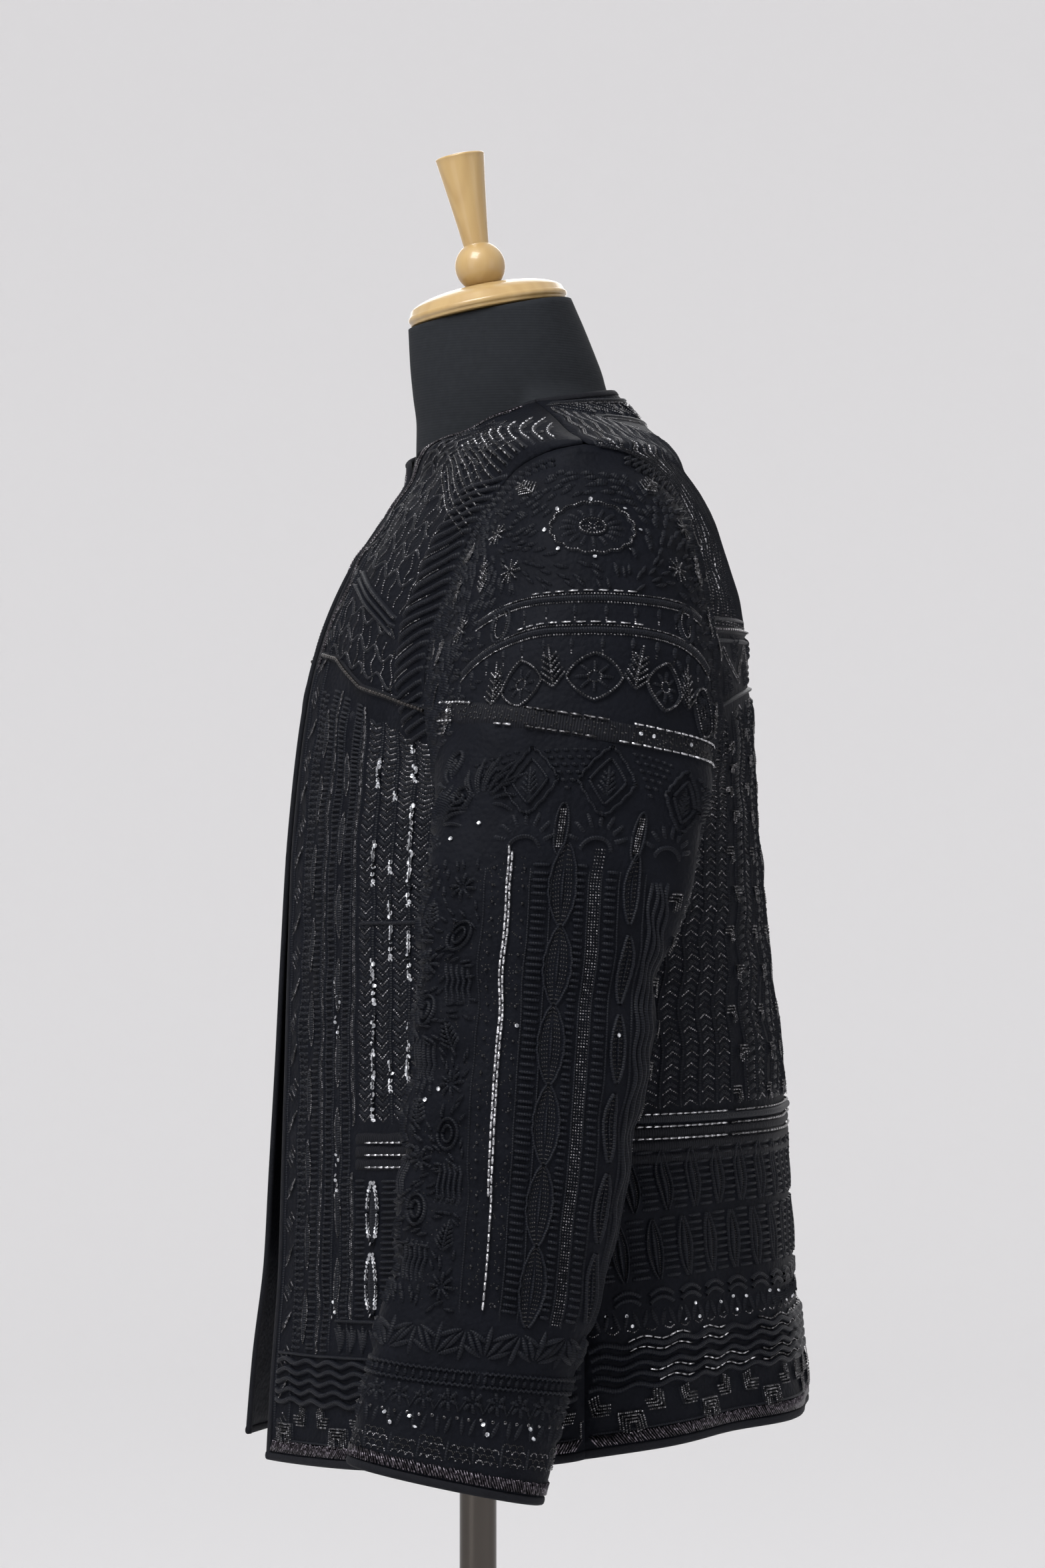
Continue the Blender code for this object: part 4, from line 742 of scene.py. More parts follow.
def folded_binding(name, edge, inward, out, node, looped=False, mirrored=False):
    """A folded strip along an edge, with the slight unevenness of hand felling."""
    chance = np.random.default_rng(len(name))
    every, share = 9, 0.04
    knots = np.arange(0, len(edge) + every, every)
    uneven = np.interp(np.arange(len(edge)), knots, chance.uniform(-1, 1, len(knots)))[:, None, None] * share
    if looped:
        uneven[-every:] *= np.linspace(1, 0, every)[:, None, None]
        uneven[:every] *= np.linspace(0, 1, every)[:, None, None]
    rings = (edge[:, None] + inward[:, None] * (FOLD["inward"][:, None] * (1 + uneven))
             + out[:, None] * FOLD["out"][:, None])
    return stands_for(closed_strip(name, bound, rings, looped, mirrored), node)


def edge_frame(panel, across, up, in_across, in_up):
    """Points, inward directions and outward normals along an edge of a panel."""
    edge, out = on_pattern(panel["pattern"], across, up)
    inner, _ = on_pattern(panel["pattern"], in_across, in_up)
    inward = inner - edge
    return edge, inward / np.linalg.norm(inward, axis=1, keepdims=True), out


bound = binding_cloth()
up = np.linspace(0, 1, 260)
length = np.interp(up, FRONT["own"], FRONT["lengths"])
edge, inward, out = edge_frame(FRONT, np.zeros(len(up)), up, BINDING_WIDTH / length, up)
square = np.cross(np.gradient(edge, axis=0), out)
square *= np.sign((square * inward).sum(1))[:, None] / np.linalg.norm(square, axis=1)[:, None]
across = np.linspace(0, 1, 120)
hem_edge = edge_frame(FRONT, across, np.zeros(len(across)), across, np.full(len(across), 0.007))
for side, mirrored in SIDES:
    folded_binding(f"front_{side}_edge_binding", edge, square, out, f"front_binding_{side}",
                   mirrored=mirrored)
    folded_binding(f"front_{side}_hem_binding", *hem_edge, f"hem_binding_{side}", mirrored=mirrored)
from_middle = np.linspace(-1, 1, 241)
across = np.abs(from_middle)
turned = np.where(from_middle[:, None] < 0, (-1, 1, 1), (1, 1, 1))
for name, node, up, in_up in (("back_hem_binding", "hem_binding_back", 0.0, 0.007),
                              ("back_neck_edge_binding", "back_neck_binding", 1.0, 0.993)):
    frames = edge_frame(BACK, across, np.full(len(across), up), across, np.full(len(across), in_up))
    folded_binding(name, *(f * turned for f in frames), node)
share = np.linspace(0, 1, 144, endpoint=False)
edge, upward, out = edge_frame(SLEEVE_CLOTH, share, np.ones(len(share)), share, np.full(len(share), 0.99))
for side, mirrored in SIDES:
    folded_binding(f"cuff_{side}_edge_binding", edge, upward, out, f"cuff_binding_{side}", True, mirrored)


# Three padded welts go round the waist, each a roll of cord covered with close satin stitch in silk. A rope
# of bugles lies in the hollow under each.
WELT_LINE = table("angle height", (0, 0.953), (90, 0.962), (180, 0.968))


def thread_finish(name, dark, light, stripe, roughness, shine):
    """Satin-stitch thread: fine ridges across each raised row with a painted sheen on their crests, and the
    soft shine of twisted silk.
    """
    thread = new_finish(name, Roughness=roughness, Specular_IOR_Level=shine)
    run = add_node(thread, "UVMap", uv_map="thread").outputs["UV"]
    ridges_with_painted_sheen = add_node(thread, "TexWave", run, Scale=stripe, Distortion=1.5, Detail=2, Detail_Scale=3)
    rows = ridges_with_painted_sheen.outputs["Fac"]
    # painted sheen and shade: the stripes that raise the ridges also colour their crests lighter and the
    # grooves darker
    two_tones(thread, rows, dark, light)
    relief(thread, rows, 0.5, 0.0004)
    return thread


def laid_rows(point, normal, width, height, around, flat=2.4):
    """Raised rows of thread laid on the cloth: points, faces and thread map, for many rows of equal count."""
    along = np.gradient(point, axis=1)
    along /= np.linalg.norm(along, axis=-1, keepdims=True) + 1e-12
    side = np.cross(normal, along)
    turn = np.linspace(-1, 1, around)
    width, height = (np.broadcast_to(v, point.shape[:2])[..., None] for v in (width, height))
    off, lift = width / 2 * turn, height * (1 - np.abs(turn) ** flat) - 0.0002
    points = point[:, :, None] + side[:, :, None] * off[..., None] + normal[:, :, None] * lift[..., None]
    count, length = point.shape[:2]
    run = run_along(point, 1)[..., None] + np.arange(count)[:, None, None] * 0.0137
    uv = np.stack([np.broadcast_to(run, off.shape), off], -1)
    m, i, j = np.meshgrid(np.arange(count), np.arange(length - 1), np.arange(around - 1), indexing="ij")
    a = (m * length + i) * around + j
    faces = np.stack([a, a + around, a + around + 1, a + 1], -1)
    return points.reshape(-1, 3), faces.reshape(-1, 4), uv.reshape(-1, 2)


def joined(parts):
    """Join parts of (points, faces, map) into one."""
    points, faces, maps, start = [], [], [], 0
    for point, face, uv in parts:
        points.append(point)
        faces.append(face + start)
        maps.append(uv)
        start += len(point)
    return np.concatenate(points), np.concatenate(faces), np.concatenate(maps)


def sewn_piece(name, finish, parts, mirrored=False, node=None):
    """One piece of trim from its parts, on the left side or mirrored to the right."""
    points, faces, uv = joined(parts)
    if mirrored:
        points, faces = points * (-1, 1, 1), faces[:, ::-1]
    return stands_for(mesh_piece(name, finish, points, faces, uv=uv), node)


def turned_over(parts):
    """The same parts on the other half of the back."""
    return [(point * (-1, 1, 1), faces[:, ::-1], uv) for point, faces, uv in parts]


def row_length(panel, height):
    """Length of a panel's row at a height up from its hem."""
    up = np.interp(height, panel["heights"], panel["shares"])
    return np.interp(up, panel["own"], panel["lengths"])


def level_line(panel, across, floor_height):
    """Places on a panel, in its own metres, that lie on a line of given heights above the floor."""
    fine = np.linspace(0.02, 0.72, 360)
    ups = []
    for share, z in zip(across, np.broadcast_to(floor_height, np.shape(across))):
        same = np.full(360, share % 1 if panel["ring"] else share)
        column = on_pattern(panel["pattern"], same, fine)[0][:, 2]
        rising = np.argsort(column)
        ups.append(np.interp(z, column[rising], fine[rising]))
    order = np.argsort(panel["shares"])
    v = np.interp(ups, panel["shares"][order], panel["heights"][order])
    return across * row_length(panel, v), v


def welt_line(part, across, lift):
    """Places on the front or the back that lie a lift above the lowest welt's foot."""
    panel, start, turn = (FRONT, 0, 90) if part == "front" else (BACK, 180, -90)
    return level_line(panel, across, np.interp(start + turn * across, *WELT_LINE.values()) + lift)


# the cord's tones are set lighter than the ground cloth's, painted light on the raised welts, cords and band
corded = thread_finish("corded_silk", (0.0036, 0.0039, 0.0054), (0.0085, 0.0090, 0.0120), 190, 0.50, 0.06)
WELT_WIDTH, WELT_HEIGHT, WELT_PITCH = 0.0070, 0.0018, 0.0075
welts = {}
for part, panel, first, count in (("front", FRONT, 0.36, 90), ("back", BACK, 0.0, 110)):
    across = np.linspace(first, 0.998, count)
    rows = []
    for k in range(3):
        point, normal = on_panel(panel, *welt_line(part, across, 0.0038 + WELT_PITCH * k))
        width = WELT_WIDTH + 0.0004 * np.sin(across * 60 + k)
        tall = WELT_HEIGHT * np.clip(np.minimum(across - first, 0.01) / 0.008 if first else 1, 0.05, 1)
        rows.append(laid_rows(point[None], normal[None], width[None], (tall * np.ones(count))[None], 9))
    welts[part] = rows
for side, mirrored in SIDES:
    sewn_piece(f"waist_welts_{side}_cords", corded, welts["front"], mirrored, f"waist_welts_{side}")
whole_welts = welts["back"] + turned_over(welts["back"])
sewn_piece("waist_welts_back_cords", corded, whole_welts, node="waist_welts_back")


# A padded cord runs level across the chest and the shoulder blades, under the yoke. It is a roll of the same
# covered cord, sewn on from below.
YOKE_CORD_WIDTH, YOKE_CORD_HEIGHT = 0.0050, 0.0017
YOKE_CORD = table("across front back", (0, 1.2705, 1.2845), (0.25, 1.2645, 1.2830), (0.5, 1.2455, 1.2815),
                  (1, 1.2285, 1.2785))


def yoke_line(part, panel, first=0.0, drop=0.0, count=80):
    """Places of the yoke's cord on a panel."""
    across = np.linspace(first, 0.994, count)
    return level_line(panel, across, np.interp(across, YOKE_CORD["across"], YOKE_CORD[part]) - drop)


yoke = {}
for part, panel, first in (("front", FRONT, 0.03), ("back", BACK, 0.0)):
    point, normal = on_panel(panel, *yoke_line(part, panel, first))
    yoke[part] = [laid_rows(point[None], normal[None], YOKE_CORD_WIDTH, YOKE_CORD_HEIGHT, 7)]
for side, mirrored in SIDES:
    sewn_piece(f"yoke_cord_{side}_roll", corded, yoke["front"], mirrored, f"yoke_cord_{side}")
sewn_piece("yoke_cord_back_roll", corded, yoke["back"] + turned_over(yoke["back"]), node="yoke_cord_back")


# A flat padded band crosses each sleeve head from seam to seam, lower at the back than at the front. It is a
# strip of felt under close stitches.
BAND_WIDTH, BAND_HEIGHT, BAND_POINTS = 0.0135, 0.0011, 90
BAND_EDGE = table("across height", (-0.25, 1.1925), (-0.188, 1.1955), (-0.10, 1.2005), (-0.026, 1.2055),
                  (0.026, 1.2098), (0.089, 1.2138), (0.188, 1.2175), (0.25, 1.2185))


def band_line(lift, first=0.245, last=-0.262, count=BAND_POINTS):
    """Places on the sleeve along the band, lifted from its lower edge."""
    across = np.linspace(first, last, count)
    return level_line(SLEEVE_CLOTH, across, np.interp(across, *BAND_EDGE.values()) + lift)


point, normal = on_panel(SLEEVE_CLOTH, *band_line(0.0065))
ends = np.clip(from_ends(BAND_POINTS) / 2, 0.1, 1)
band = [laid_rows(point[None], normal[None], BAND_WIDTH, BAND_HEIGHT * ends[None], 9, 8)]
for side, mirrored in SIDES:
    sewn_piece(f"sleeve_band_{side}_strip", corded, band, mirrored, f"sleeve_band_{side}")


# The fronts are worked in columns that run down beside the free edge: ladders and lenses of satin stitch,
# lines of seed beads, stacked bead chevrons with bright sequins, and bands of cord, leaves and beads above
# the hem.
def glass(name, dark, light, metallic, roughness):
    """Small glass or lustre beads, highly polished, each of its own tone; on the dark ones the few light
    tones are painted glints.
    """
    bead = new_finish(name, Metallic=metallic, Roughness=roughness, Specular_IOR_Level=0.62)
    place = add_node(bead, "TexCoord").outputs["Object"]
    cell = add_node(bead, "VectorMath", place, operation="SCALE", Scale=720).outputs["Vector"]
    step = add_node(bead, "VectorMath", cell, operation="FLOOR").outputs["Vector"]
    # only a few beads get the light tone: on the black, jet and smoky beads these are painted glints
    few = add_node(bead, "Math", operation="POWER")
    few.inputs[1].default_value = 3.0
    wire(bead, add_node(bead, "TexWhiteNoise", step).outputs["Value"], few.inputs[0])
    two_tones(bead, few.outputs["Value"], dark, light)
    return bead


# the light tones of the black, jet and smoky beads and bugles are painted glints; lined bugles and sequins
# are bright themselves
black_glass_with_painted_glints = glass("black_seed_beads", (0.006, 0.006, 0.007), (0.26, 0.256, 0.27), 0.8, 0.15)
jet = glass("jet_beads", (0.0016, 0.0016, 0.0020), (0.030, 0.029, 0.032), 0.6, 0.14)
lined_glass = glass("lined_bugles", (0.16, 0.16, 0.17), (0.80, 0.80, 0.84), 0.9, 0.16)
smoky_glass_with_painted_glints = glass("smoky_bugles", (0.014, 0.012, 0.015), (0.150, 0.134, 0.155), 0.9, 0.20)
pearls = glass("bronze_grey_pearls", (0.012, 0.0105, 0.010), (0.040, 0.034, 0.032), 0.7, 0.30)
foil = glass("bright_sequins", (0.30, 0.31, 0.33), (0.85, 0.86, 0.90), 1.0, 0.14)
# the satin's tones are set lighter than the ground cloth's, painted light on the raised rows
satin = thread_finish("navy_satin_stitch", (0.0037, 0.0042, 0.0064), (0.0084, 0.0096, 0.0138),
                      210, 0.42, 0.10)
PADDING, BEDDING = 1.8, 1.5      # how far padding lifts a row, and what is under a bead lifts the bead
BINDING_CLEAR = 0.0052           # stitches stay this far inside a bound edge


def new_work(place, inside):
    """Needlework of one panel: where its places lie, which of them are on the panel, and what is sewn."""
    return {"place": place, "inside": inside, "rows": [], **{kind: [] for kind in KINDS}}


def sew_rows(work, d, v, width, height, around=4):
    """Rows of satin stitch or cord through the given places, left out where they would run off the panel."""
    d, v = np.broadcast_arrays(np.atleast_2d(d), np.atleast_2d(v))
    width, height = (np.broadcast_to(s, d.shape) for s in (width, PADDING * np.asarray(height)))
    kept = work["inside"](d, v).all(axis=1)
    if kept.any():
        point, normal = work["place"](d[kept], v[kept])
        work["rows"].append(laid_rows(point, normal, width[kept], height[kept], around))


def sew_line(work, d, v, width, height, around=4):
    """One long row, cut where it leaves the panel."""
    kept = work["inside"](d, v)
    edges = np.flatnonzero(np.diff(np.concatenate([[0], kept.astype(int), [0]])))
    for start, stop in zip(edges[::2], edges[1::2]):
        if stop - start > 2:
            taper = np.clip(from_ends(stop - start) / 1.5, 0.02, 1)
            sew_rows(work, d[start:stop], v[start:stop], width, height * taper, around)


def sew_beads(work, d, v, size, lift=0.0, kind="seed_beads"):
    """Beads at the given places; lift is the height of what they lie on."""
    d, v = (np.ravel(a) for a in np.broadcast_arrays(d, v))
    kept = work["inside"](d, v)
    point, normal = work["place"](d[kept], v[kept])
    work[kind].append((point + normal * (BEDDING * lift + size * 0.12), normal, np.full(len(point), size)))


def run_of(d, v):
    """Distance of each place of a line from its first place."""
    return np.concatenate([[0], np.cumsum(np.hypot(np.diff(d), np.diff(v)))])


def bead_line(work, d, v, size, pitch=0.00135, lift=0.0, kind="seed_beads"):
    """A string of beads along a line through the given places."""
    run = run_of(d, v)
    at = np.arange(pitch / 2, run[-1], pitch)
    sew_beads(work, np.interp(at, run, d), np.interp(at, run, v), size, lift, kind)


def sew_bugles(work, d0, v0, d1, v1, size=0.0014, lift=0.0, kind="bugles"):
    """Bugles from one end to the other."""
    d0, v0, d1, v1 = (np.ravel(a) for a in np.broadcast_arrays(d0, v0, d1, v1))
    kept = work["inside"](d0, v0) & work["inside"](d1, v1)
    (start, normal), (end, _) = work["place"](d0[kept], v0[kept]), work["place"](d1[kept], v1[kept])
    raised = normal * (BEDDING * lift + size * 0.3)
    work[kind].append((start + raised, end + raised, normal, np.full(len(start), size)))


def bugle_line(work, d, v, length=0.0045, gap=0.0009, size=0.0014, lift=0.0, kind="bugles"):
    """A rope of bugles end to end along a line."""
    run = run_of(d, v)
    at = np.arange(gap, run[-1] - length, length + gap)
    places = [np.interp(s, run, line) for s in (at, at + length) for line in (d, v)]
    sew_bugles(work, *places, size=size, lift=lift, kind=kind)


def sew_sequins(work, d, v, size, seed, lift=0.0012, tip=0.34):
    """Dished sequins, each tipped its own way by its stitch."""
    d, v = (np.ravel(a) for a in np.broadcast_arrays(d, v))
    kept = work["inside"](d, v)
    point, normal = work["place"](d[kept], v[kept])
    tipped = normal + np.random.default_rng(seed).normal(0, tip, point.shape)
    tipped /= np.linalg.norm(tipped, axis=1, keepdims=True)
    work["sequins"].append((point + normal * lift, tipped, np.full(len(point), size)))


def round_out(normal, sides):
    """Directions out of each place, evenly round its normal."""
    first = np.cross(normal, (0.31, 0.52, 0.79))
    first /= np.linalg.norm(first, axis=1, keepdims=True)
    turn = np.linspace(0, 2 * math.pi, sides, endpoint=False)[:, None]
    return first[:, None] * np.cos(turn) + np.cross(normal, first)[:, None] * np.sin(turn)


def fans(count, sides):
    """Faces of many small discs, each a rim of points and then its middle."""
    j = np.arange(sides)
    fan = np.stack([j, (j + 1) % sides, np.full(sides, sides)], -1)[None]
    return (fan + np.arange(count)[:, None, None] * (sides + 1)).reshape(-1, 3)


def bead_mesh(point, normal, size, sides=5):
    """Round beads, each a small dome that is shaded smooth."""
    r = size[:, None, None] / 2
    rim = point[:, None] + round_out(normal, sides) * r - normal[:, None] * r * 0.2
    points = np.concatenate([rim, point[:, None] + normal[:, None] * r * 0.9], axis=1)
    return points.reshape(-1, 3), (fans(len(point), sides),)


def bugle_mesh(start_point, end_point, normal, size):
    """Glass tubes lying on the cloth, cut square at both ends."""
    along = end_point - start_point
    along /= np.linalg.norm(along, axis=1, keepdims=True) + 1e-12
    side = np.cross(normal, along)
    turn = np.radians((-35, 30, 90, 150, 215))
    out = side[:, None] * np.cos(turn)[:, None] + normal[:, None] * np.sin(turn)[:, None]
    r = size[:, None, None] / 2
    points = np.concatenate([start_point[:, None] + out * r, end_point[:, None] + out * r], axis=1)
    first_points = np.arange(len(normal))[:, None, None] * 2 * len(turn)
    quads = np.array([(0, 1, 6, 5), (1, 2, 7, 6), (2, 3, 8, 7), (3, 4, 9, 8)])[None] + first_points
    ends = np.array([(0, 2, 1), (0, 3, 2), (0, 4, 3), (5, 6, 7), (5, 7, 8), (5, 8, 9)])[None] + first_points
    return points.reshape(-1, 3), (quads.reshape(-1, 4)[:, ::-1], ends.reshape(-1, 3)[:, ::-1])


def sequin_mesh(point, normal, size):
    """Six-sided dished discs."""
    size = size[:, None, None]
    rim = point[:, None] + round_out(normal, 6) * size / 2
    points = np.concatenate([rim, point[:, None] - normal[:, None] * size * 0.13], axis=1)
    return points.reshape(-1, 3), (fans(len(point), 6),)


def sewn_on(name, finish, points, faces, mirrored, both, smooth=True):
    """Beads or sequins of one kind as one piece, on the left, mirrored to the right, or on both halves."""
    turned = points * (-1, 1, 1)
    if both:
        faces = [np.concatenate([f, f[:, ::-1] + len(points)]) for f in faces]
        points = np.concatenate([points, turned])
    elif mirrored:
        points, faces = turned, [f[:, ::-1] for f in faces]
    return stands_for(mesh_piece(name, finish, points, *faces, smooth=smooth), None)


KINDS = {
    "seed_beads": (black_glass_with_painted_glints, bead_mesh),
    "jet_beads": (jet, bead_mesh),
    "bugles": (lined_glass, bugle_mesh),
    "black_bugles": (black_glass_with_painted_glints, bugle_mesh),
    "trim_bugles": (smoky_glass_with_painted_glints, bugle_mesh),
    "pearls": (pearls, bugle_mesh),
    "sequins": (foil, sequin_mesh),
}


def finish_work(name, work, sides):
    """Turn one panel's needlework into its pieces."""
    for side in sides:
        label, mirrored, both = f"{name}_{side}" if side else name, side == "right", side == ""
        rows = work["rows"] + (turned_over(work["rows"]) if both else [])
        sewn_piece(f"{label}_satin_stitch", satin, rows, mirrored)
        for kind, (finish, build) in KINDS.items():
            if work[kind]:
                data = [np.concatenate(column) for column in zip(*work[kind])]
                sewn_on(f"{label}_{kind}", finish, *build(*data), mirrored, both, smooth=kind != "sequins")


def ladder(work, centre, low, high, width, pitch=0.0042, bar=0.0027, height=0.0012, lean=0.0, seed=1):
    """Padded satin bars across a column."""
    v = np.arange(low + pitch / 2, high, pitch)[:, None]
    chance = np.random.default_rng(seed)
    step = np.array([-0.5, -0.34, 0.0, 0.34, 0.5])
    v = v + chance.normal(0, 0.00025, v.shape)
    long = width * (1 + chance.normal(0, 0.05, v.shape))
    thick, tall = np.array([0.55, 0.95, 1, 0.95, 0.55]), np.array([0.1, 0.85, 1, 0.85, 0.1])
    sew_rows(work, centre(v) + step * long, v + step * lean * width, bar * thick, height * tall)


def thin_cord(work, centre, low, high, offset=0.0, width=0.0014, height=0.0008):
    """A couched cord down a column."""
    v = np.arange(low, high, 0.0048)
    sew_line(work, centre(v) + offset, v, width, height, 3)


def zipper(work, centre, low, high, size=0.0011):
    """Two lines of tiny seed beads side by side on a couched cord."""
    thin_cord(work, centre, low, high, width=0.0034, height=0.0007)
    v = np.arange(low, high, 0.00112)
    for side in (-1, 1):
        sew_beads(work, centre(v) + side * 0.00062, v + side * 0.00028, size, 0.0004)


def lens(work, centre, middle, length, width, height, outline=0.0, beads=0.0):
    """An almond of satin stitch, with a cord or a string of beads along both its sides if one is given."""
    v = np.atleast_1d(middle)[:, None] + length * np.linspace(-0.5, 0.5, 9)
    swell = np.sin(np.linspace(0, math.pi, 9)) ** 0.8
    sew_rows(work, centre(v), v, width * np.maximum(swell, 0.08), height * np.maximum(swell, 0.05) ** 0.5, 7)
    for side in (-1, 1):
        if outline:
            sew_rows(work, centre(v) + side * (width / 2 + outline * 0.45) * swell, v, outline,
                     outline * 0.6 * np.maximum(swell, 0.1) ** 0.4, 3)
        if beads:
            for row in v:
                edge = centre(row) + side * (width / 2 + 0.0006) * swell
                bead_line(work, edge, row, beads, beads * 1.06, 0.0003)


def chevrons(work, centre, low, high, half, pitch=0.0062, size=0.0013, beads=5, rise=0.75, upside=1):
    """Stacked V shapes of seed beads, turned over where upside is -1."""
    v = np.arange(low + half * rise, high - half * rise, pitch)[:, None, None]
    step = np.linspace(0.06, 1, beads)
    for side in (-1, 1):
        sew_beads(work, centre(v) + side * half * step, v + upside * half * rise * (step - 0.5), size)


def chevron_pads(work, centre, low, high, half, pitch=0.0062, rise=0.75, upside=1):
    """Padded V shapes between the bead chevrons."""
    v = np.arange(low + half * rise + pitch / 2, high - half * rise, pitch)[:, None]
    step = np.linspace(0.04, 1, 4)
    for side in (-1, 1):
        sew_rows(work, centre(v) + side * half * step, v + upside * half * rise * (step - 0.5), 0.0024,
                 0.0009 * np.array([0.6, 1, 1, 0.1]), 3)


def pebbles(work, d, v, length, width, turn=0.0, height=0.0012):
    """Small padded ovals or leaves at the given places."""
    step, swell = np.linspace(-0.5, 0.5, 5) * length, np.array([0.25, 0.85, 1, 0.85, 0.25])
    d, v, turn = (np.ravel(a)[:, None] for a in np.broadcast_arrays(d, v, turn))
    sew_rows(work, d + step * np.cos(turn), v + step * np.sin(turn), width * swell, height * swell, 3)


def drawn(work, middle, angle, lines, beads, pad=0.0, height=0.0010):
    """A small motif from lines in its own metres: bead lines, padded lines, or beads on padding."""
    c, s = math.cos(angle), math.sin(angle)
    for x, y in lines:
        d, v = middle[0] + c * x - s * y, middle[1] + s * x + c * y
        if pad:
            sew_line(work, d, v, pad, height, 3)
        if beads:
            bead_line(work, d, v, beads, beads * 1.07, 0.0004 + (height * 0.7 if pad else 0))


def rays(count, near, far, first=0.0, turn=2 * math.pi, curl=0.0):
    """Lines that spread from a middle."""
    r = np.linspace(near, far, 6)
    angles = first + turn * np.arange(count) / (count if turn > 6 else count - 1)
    return [(r * np.cos(a + curl * r / far), r * np.sin(a + curl * r / far)) for a in angles]


def rounded(half_x, half_y, power=2.0, scallops=0, deep=0.0):
    """A closed oval (power 2) or diamond (power 1), plain or scalloped."""
    turn = np.linspace(0, 2 * math.pi, 65)
    c, s = np.cos(turn), np.sin(turn)
    out = 1 + deep * np.abs(np.sin(turn * scallops / 2))
    return [(half_x * out * np.sign(c) * np.abs(c) ** (2 / power),
             half_y * out * np.sign(s) * np.abs(s) ** (2 / power))]


def sprig(length, pairs, leaf, open_by=0.75):
    """A stem with pairs of slanting leaves."""
    r = np.linspace(0, 1, 5)
    lines = [(0 * r, length * r)]
    for k in range(pairs):
        start, size = length * 0.8 * k / pairs, leaf * (1 - 0.12 * k)
        lines += [(side * size * math.sin(open_by) * r, start + size * math.cos(open_by) * r)
                  for side in (-1, 1)]
    return lines


def flowing(work, places, clear, length, width, bend=60.0, seed=1):
    """Short raised stitches that follow one slow curve over a field, kept clear of the given motifs."""
    d, v = places
    free = np.all([np.hypot(d - x, v - y) > reach for x, y, reach in clear], axis=0) | np.zeros(len(d), bool)
    d, v = d[free], v[free]
    turn = 1.3 * np.sin(d * bend + seed) + 1.1 * np.cos(v * bend * 0.8 + 2 * seed) + math.pi / 2
    pebbles(work, d, v, length, width, turn, 0.0016)


def strewn(chance, count, first, last, low, high):
    """Places spread evenly but not in rows over a field."""
    columns = int(math.sqrt(count * (last - first) / (high - low))) + 1
    rows = count // columns + 1
    d, v = np.meshgrid((np.arange(columns) + 0.5) / columns, (np.arange(rows) + 0.5) / rows)
    d = d + chance.uniform(-0.4, 0.4, d.shape) / columns
    v = v + chance.uniform(-0.4, 0.4, v.shape) / rows
    return first + d.ravel() * (last - first), low + v.ravel() * (high - low)


def arrows(reach, gap, count=3):
    """Nested arrowheads that point up."""
    return [(np.array([-r, -r / 2, 0, r / 2, r]), np.array([-r, -r / 2, 0, -r / 2, -r]) * 0.95 - gap * n)
            for n, r in enumerate(reach * (1 - 0.12 * np.arange(count)))]


def down(at_hem, at_yoke=None):
    """Centre line of a column, given by its distance from the edge at the hem and near the yoke."""
    return lambda v: np.interp(v, (0.0, 0.4), (at_hem, at_hem if at_yoke is None else at_yoke))


def wavy_cords(work, first, last, bugles):
    """Five cords that run over a hem in slow waves, with ropes of bugles between some of them."""
    low, spacing, wave, length = 0.0365, 0.0058, 0.0014, 0.024
    d = np.arange(first, last, 0.003)
    for k in range(5):
        v = low + spacing * k + wave * np.sin(d / length * 2 * math.pi + (0.25 * k + 0.2) * 2.2)
        sew_line(work, d, v, 0.0040, 0.0017, 5)
        for row, start, end, kind in bugles:
            part = (d >= start) & (d <= end)
            if row == k and part.sum() > 3:
                bugle_line(work, d[part], v[part] + spacing * 0.5, lift=0.0003, kind=kind)


def level_cord(work, first, last, v, width=0.0026, height=0.0012):
    """A cord along a band."""
    d = np.arange(first, last, 0.003)
    sew_line(work, d, np.full(len(d), v), width, height)


def front_inside(d, v):
    """True for places on a front, inside its bindings and seams."""
    return (d > BINDING_CLEAR) & (d < row_length(FRONT, v) - 0.0012) & (v > BINDING_CLEAR) & (v < 0.712)


front = new_work(lambda d, v: on_panel(FRONT, d, v), front_inside)
BAND_TOP, WELTS_LOW, WELTS_TOP, YOKE = 0.066, 0.174, 0.202, 0.478    # heights of the bands on a front
CLOSE_BARS, WIDE_BARS = (0.0036, 0.0023, 0.0011), (0.0040, 0.0028, 0.0010)   # pitch, width and height
BARS, STOUT_BARS, LENSES, BEADED_CORD, CHEVRONS = 1, 2, 3, 4, 5
FRONT_COLUMNS = table(
    "kind place width low high",
    (STOUT_BARS, 0.0300, 0.0040, BAND_TOP, 0.470), (LENSES, 0.0415, 0.0042, BAND_TOP, 0.474),
    (STOUT_BARS, 0.0355, 0.0040, BAND_TOP, 0.472), (BARS, 0.0485, 0.0075, BAND_TOP, 0.476),
    (BEADED_CORD, 0.0565, 0.0034, BAND_TOP, YOKE), (BARS, 0.0645, 0.0075, BAND_TOP, YOKE),
    (LENSES, 0.0735, 0.0052, 0.086, YOKE), (BARS, 0.0820, 0.0070, 0.086, YOKE),
    (BEADED_CORD, 0.0895, 0.0034, WELTS_TOP, YOKE), (CHEVRONS, 0.1000, 0.0052, WELTS_TOP, 0.476),
    (CHEVRONS, 0.1165, 0.0056, WELTS_TOP, YOKE), (CHEVRONS, 0.1325, 0.0056, WELTS_TOP, 0.480),
    *((CHEVRONS, place, 0.0056, WELTS_TOP, 0.486)
      for place in (0.1485, 0.1645, 0.1805, 0.1965, 0.2125, 0.2285, 0.2440)),
    (BEADED_CORD, 0.0880, 0.0034, 0.087, WELTS_LOW),
)
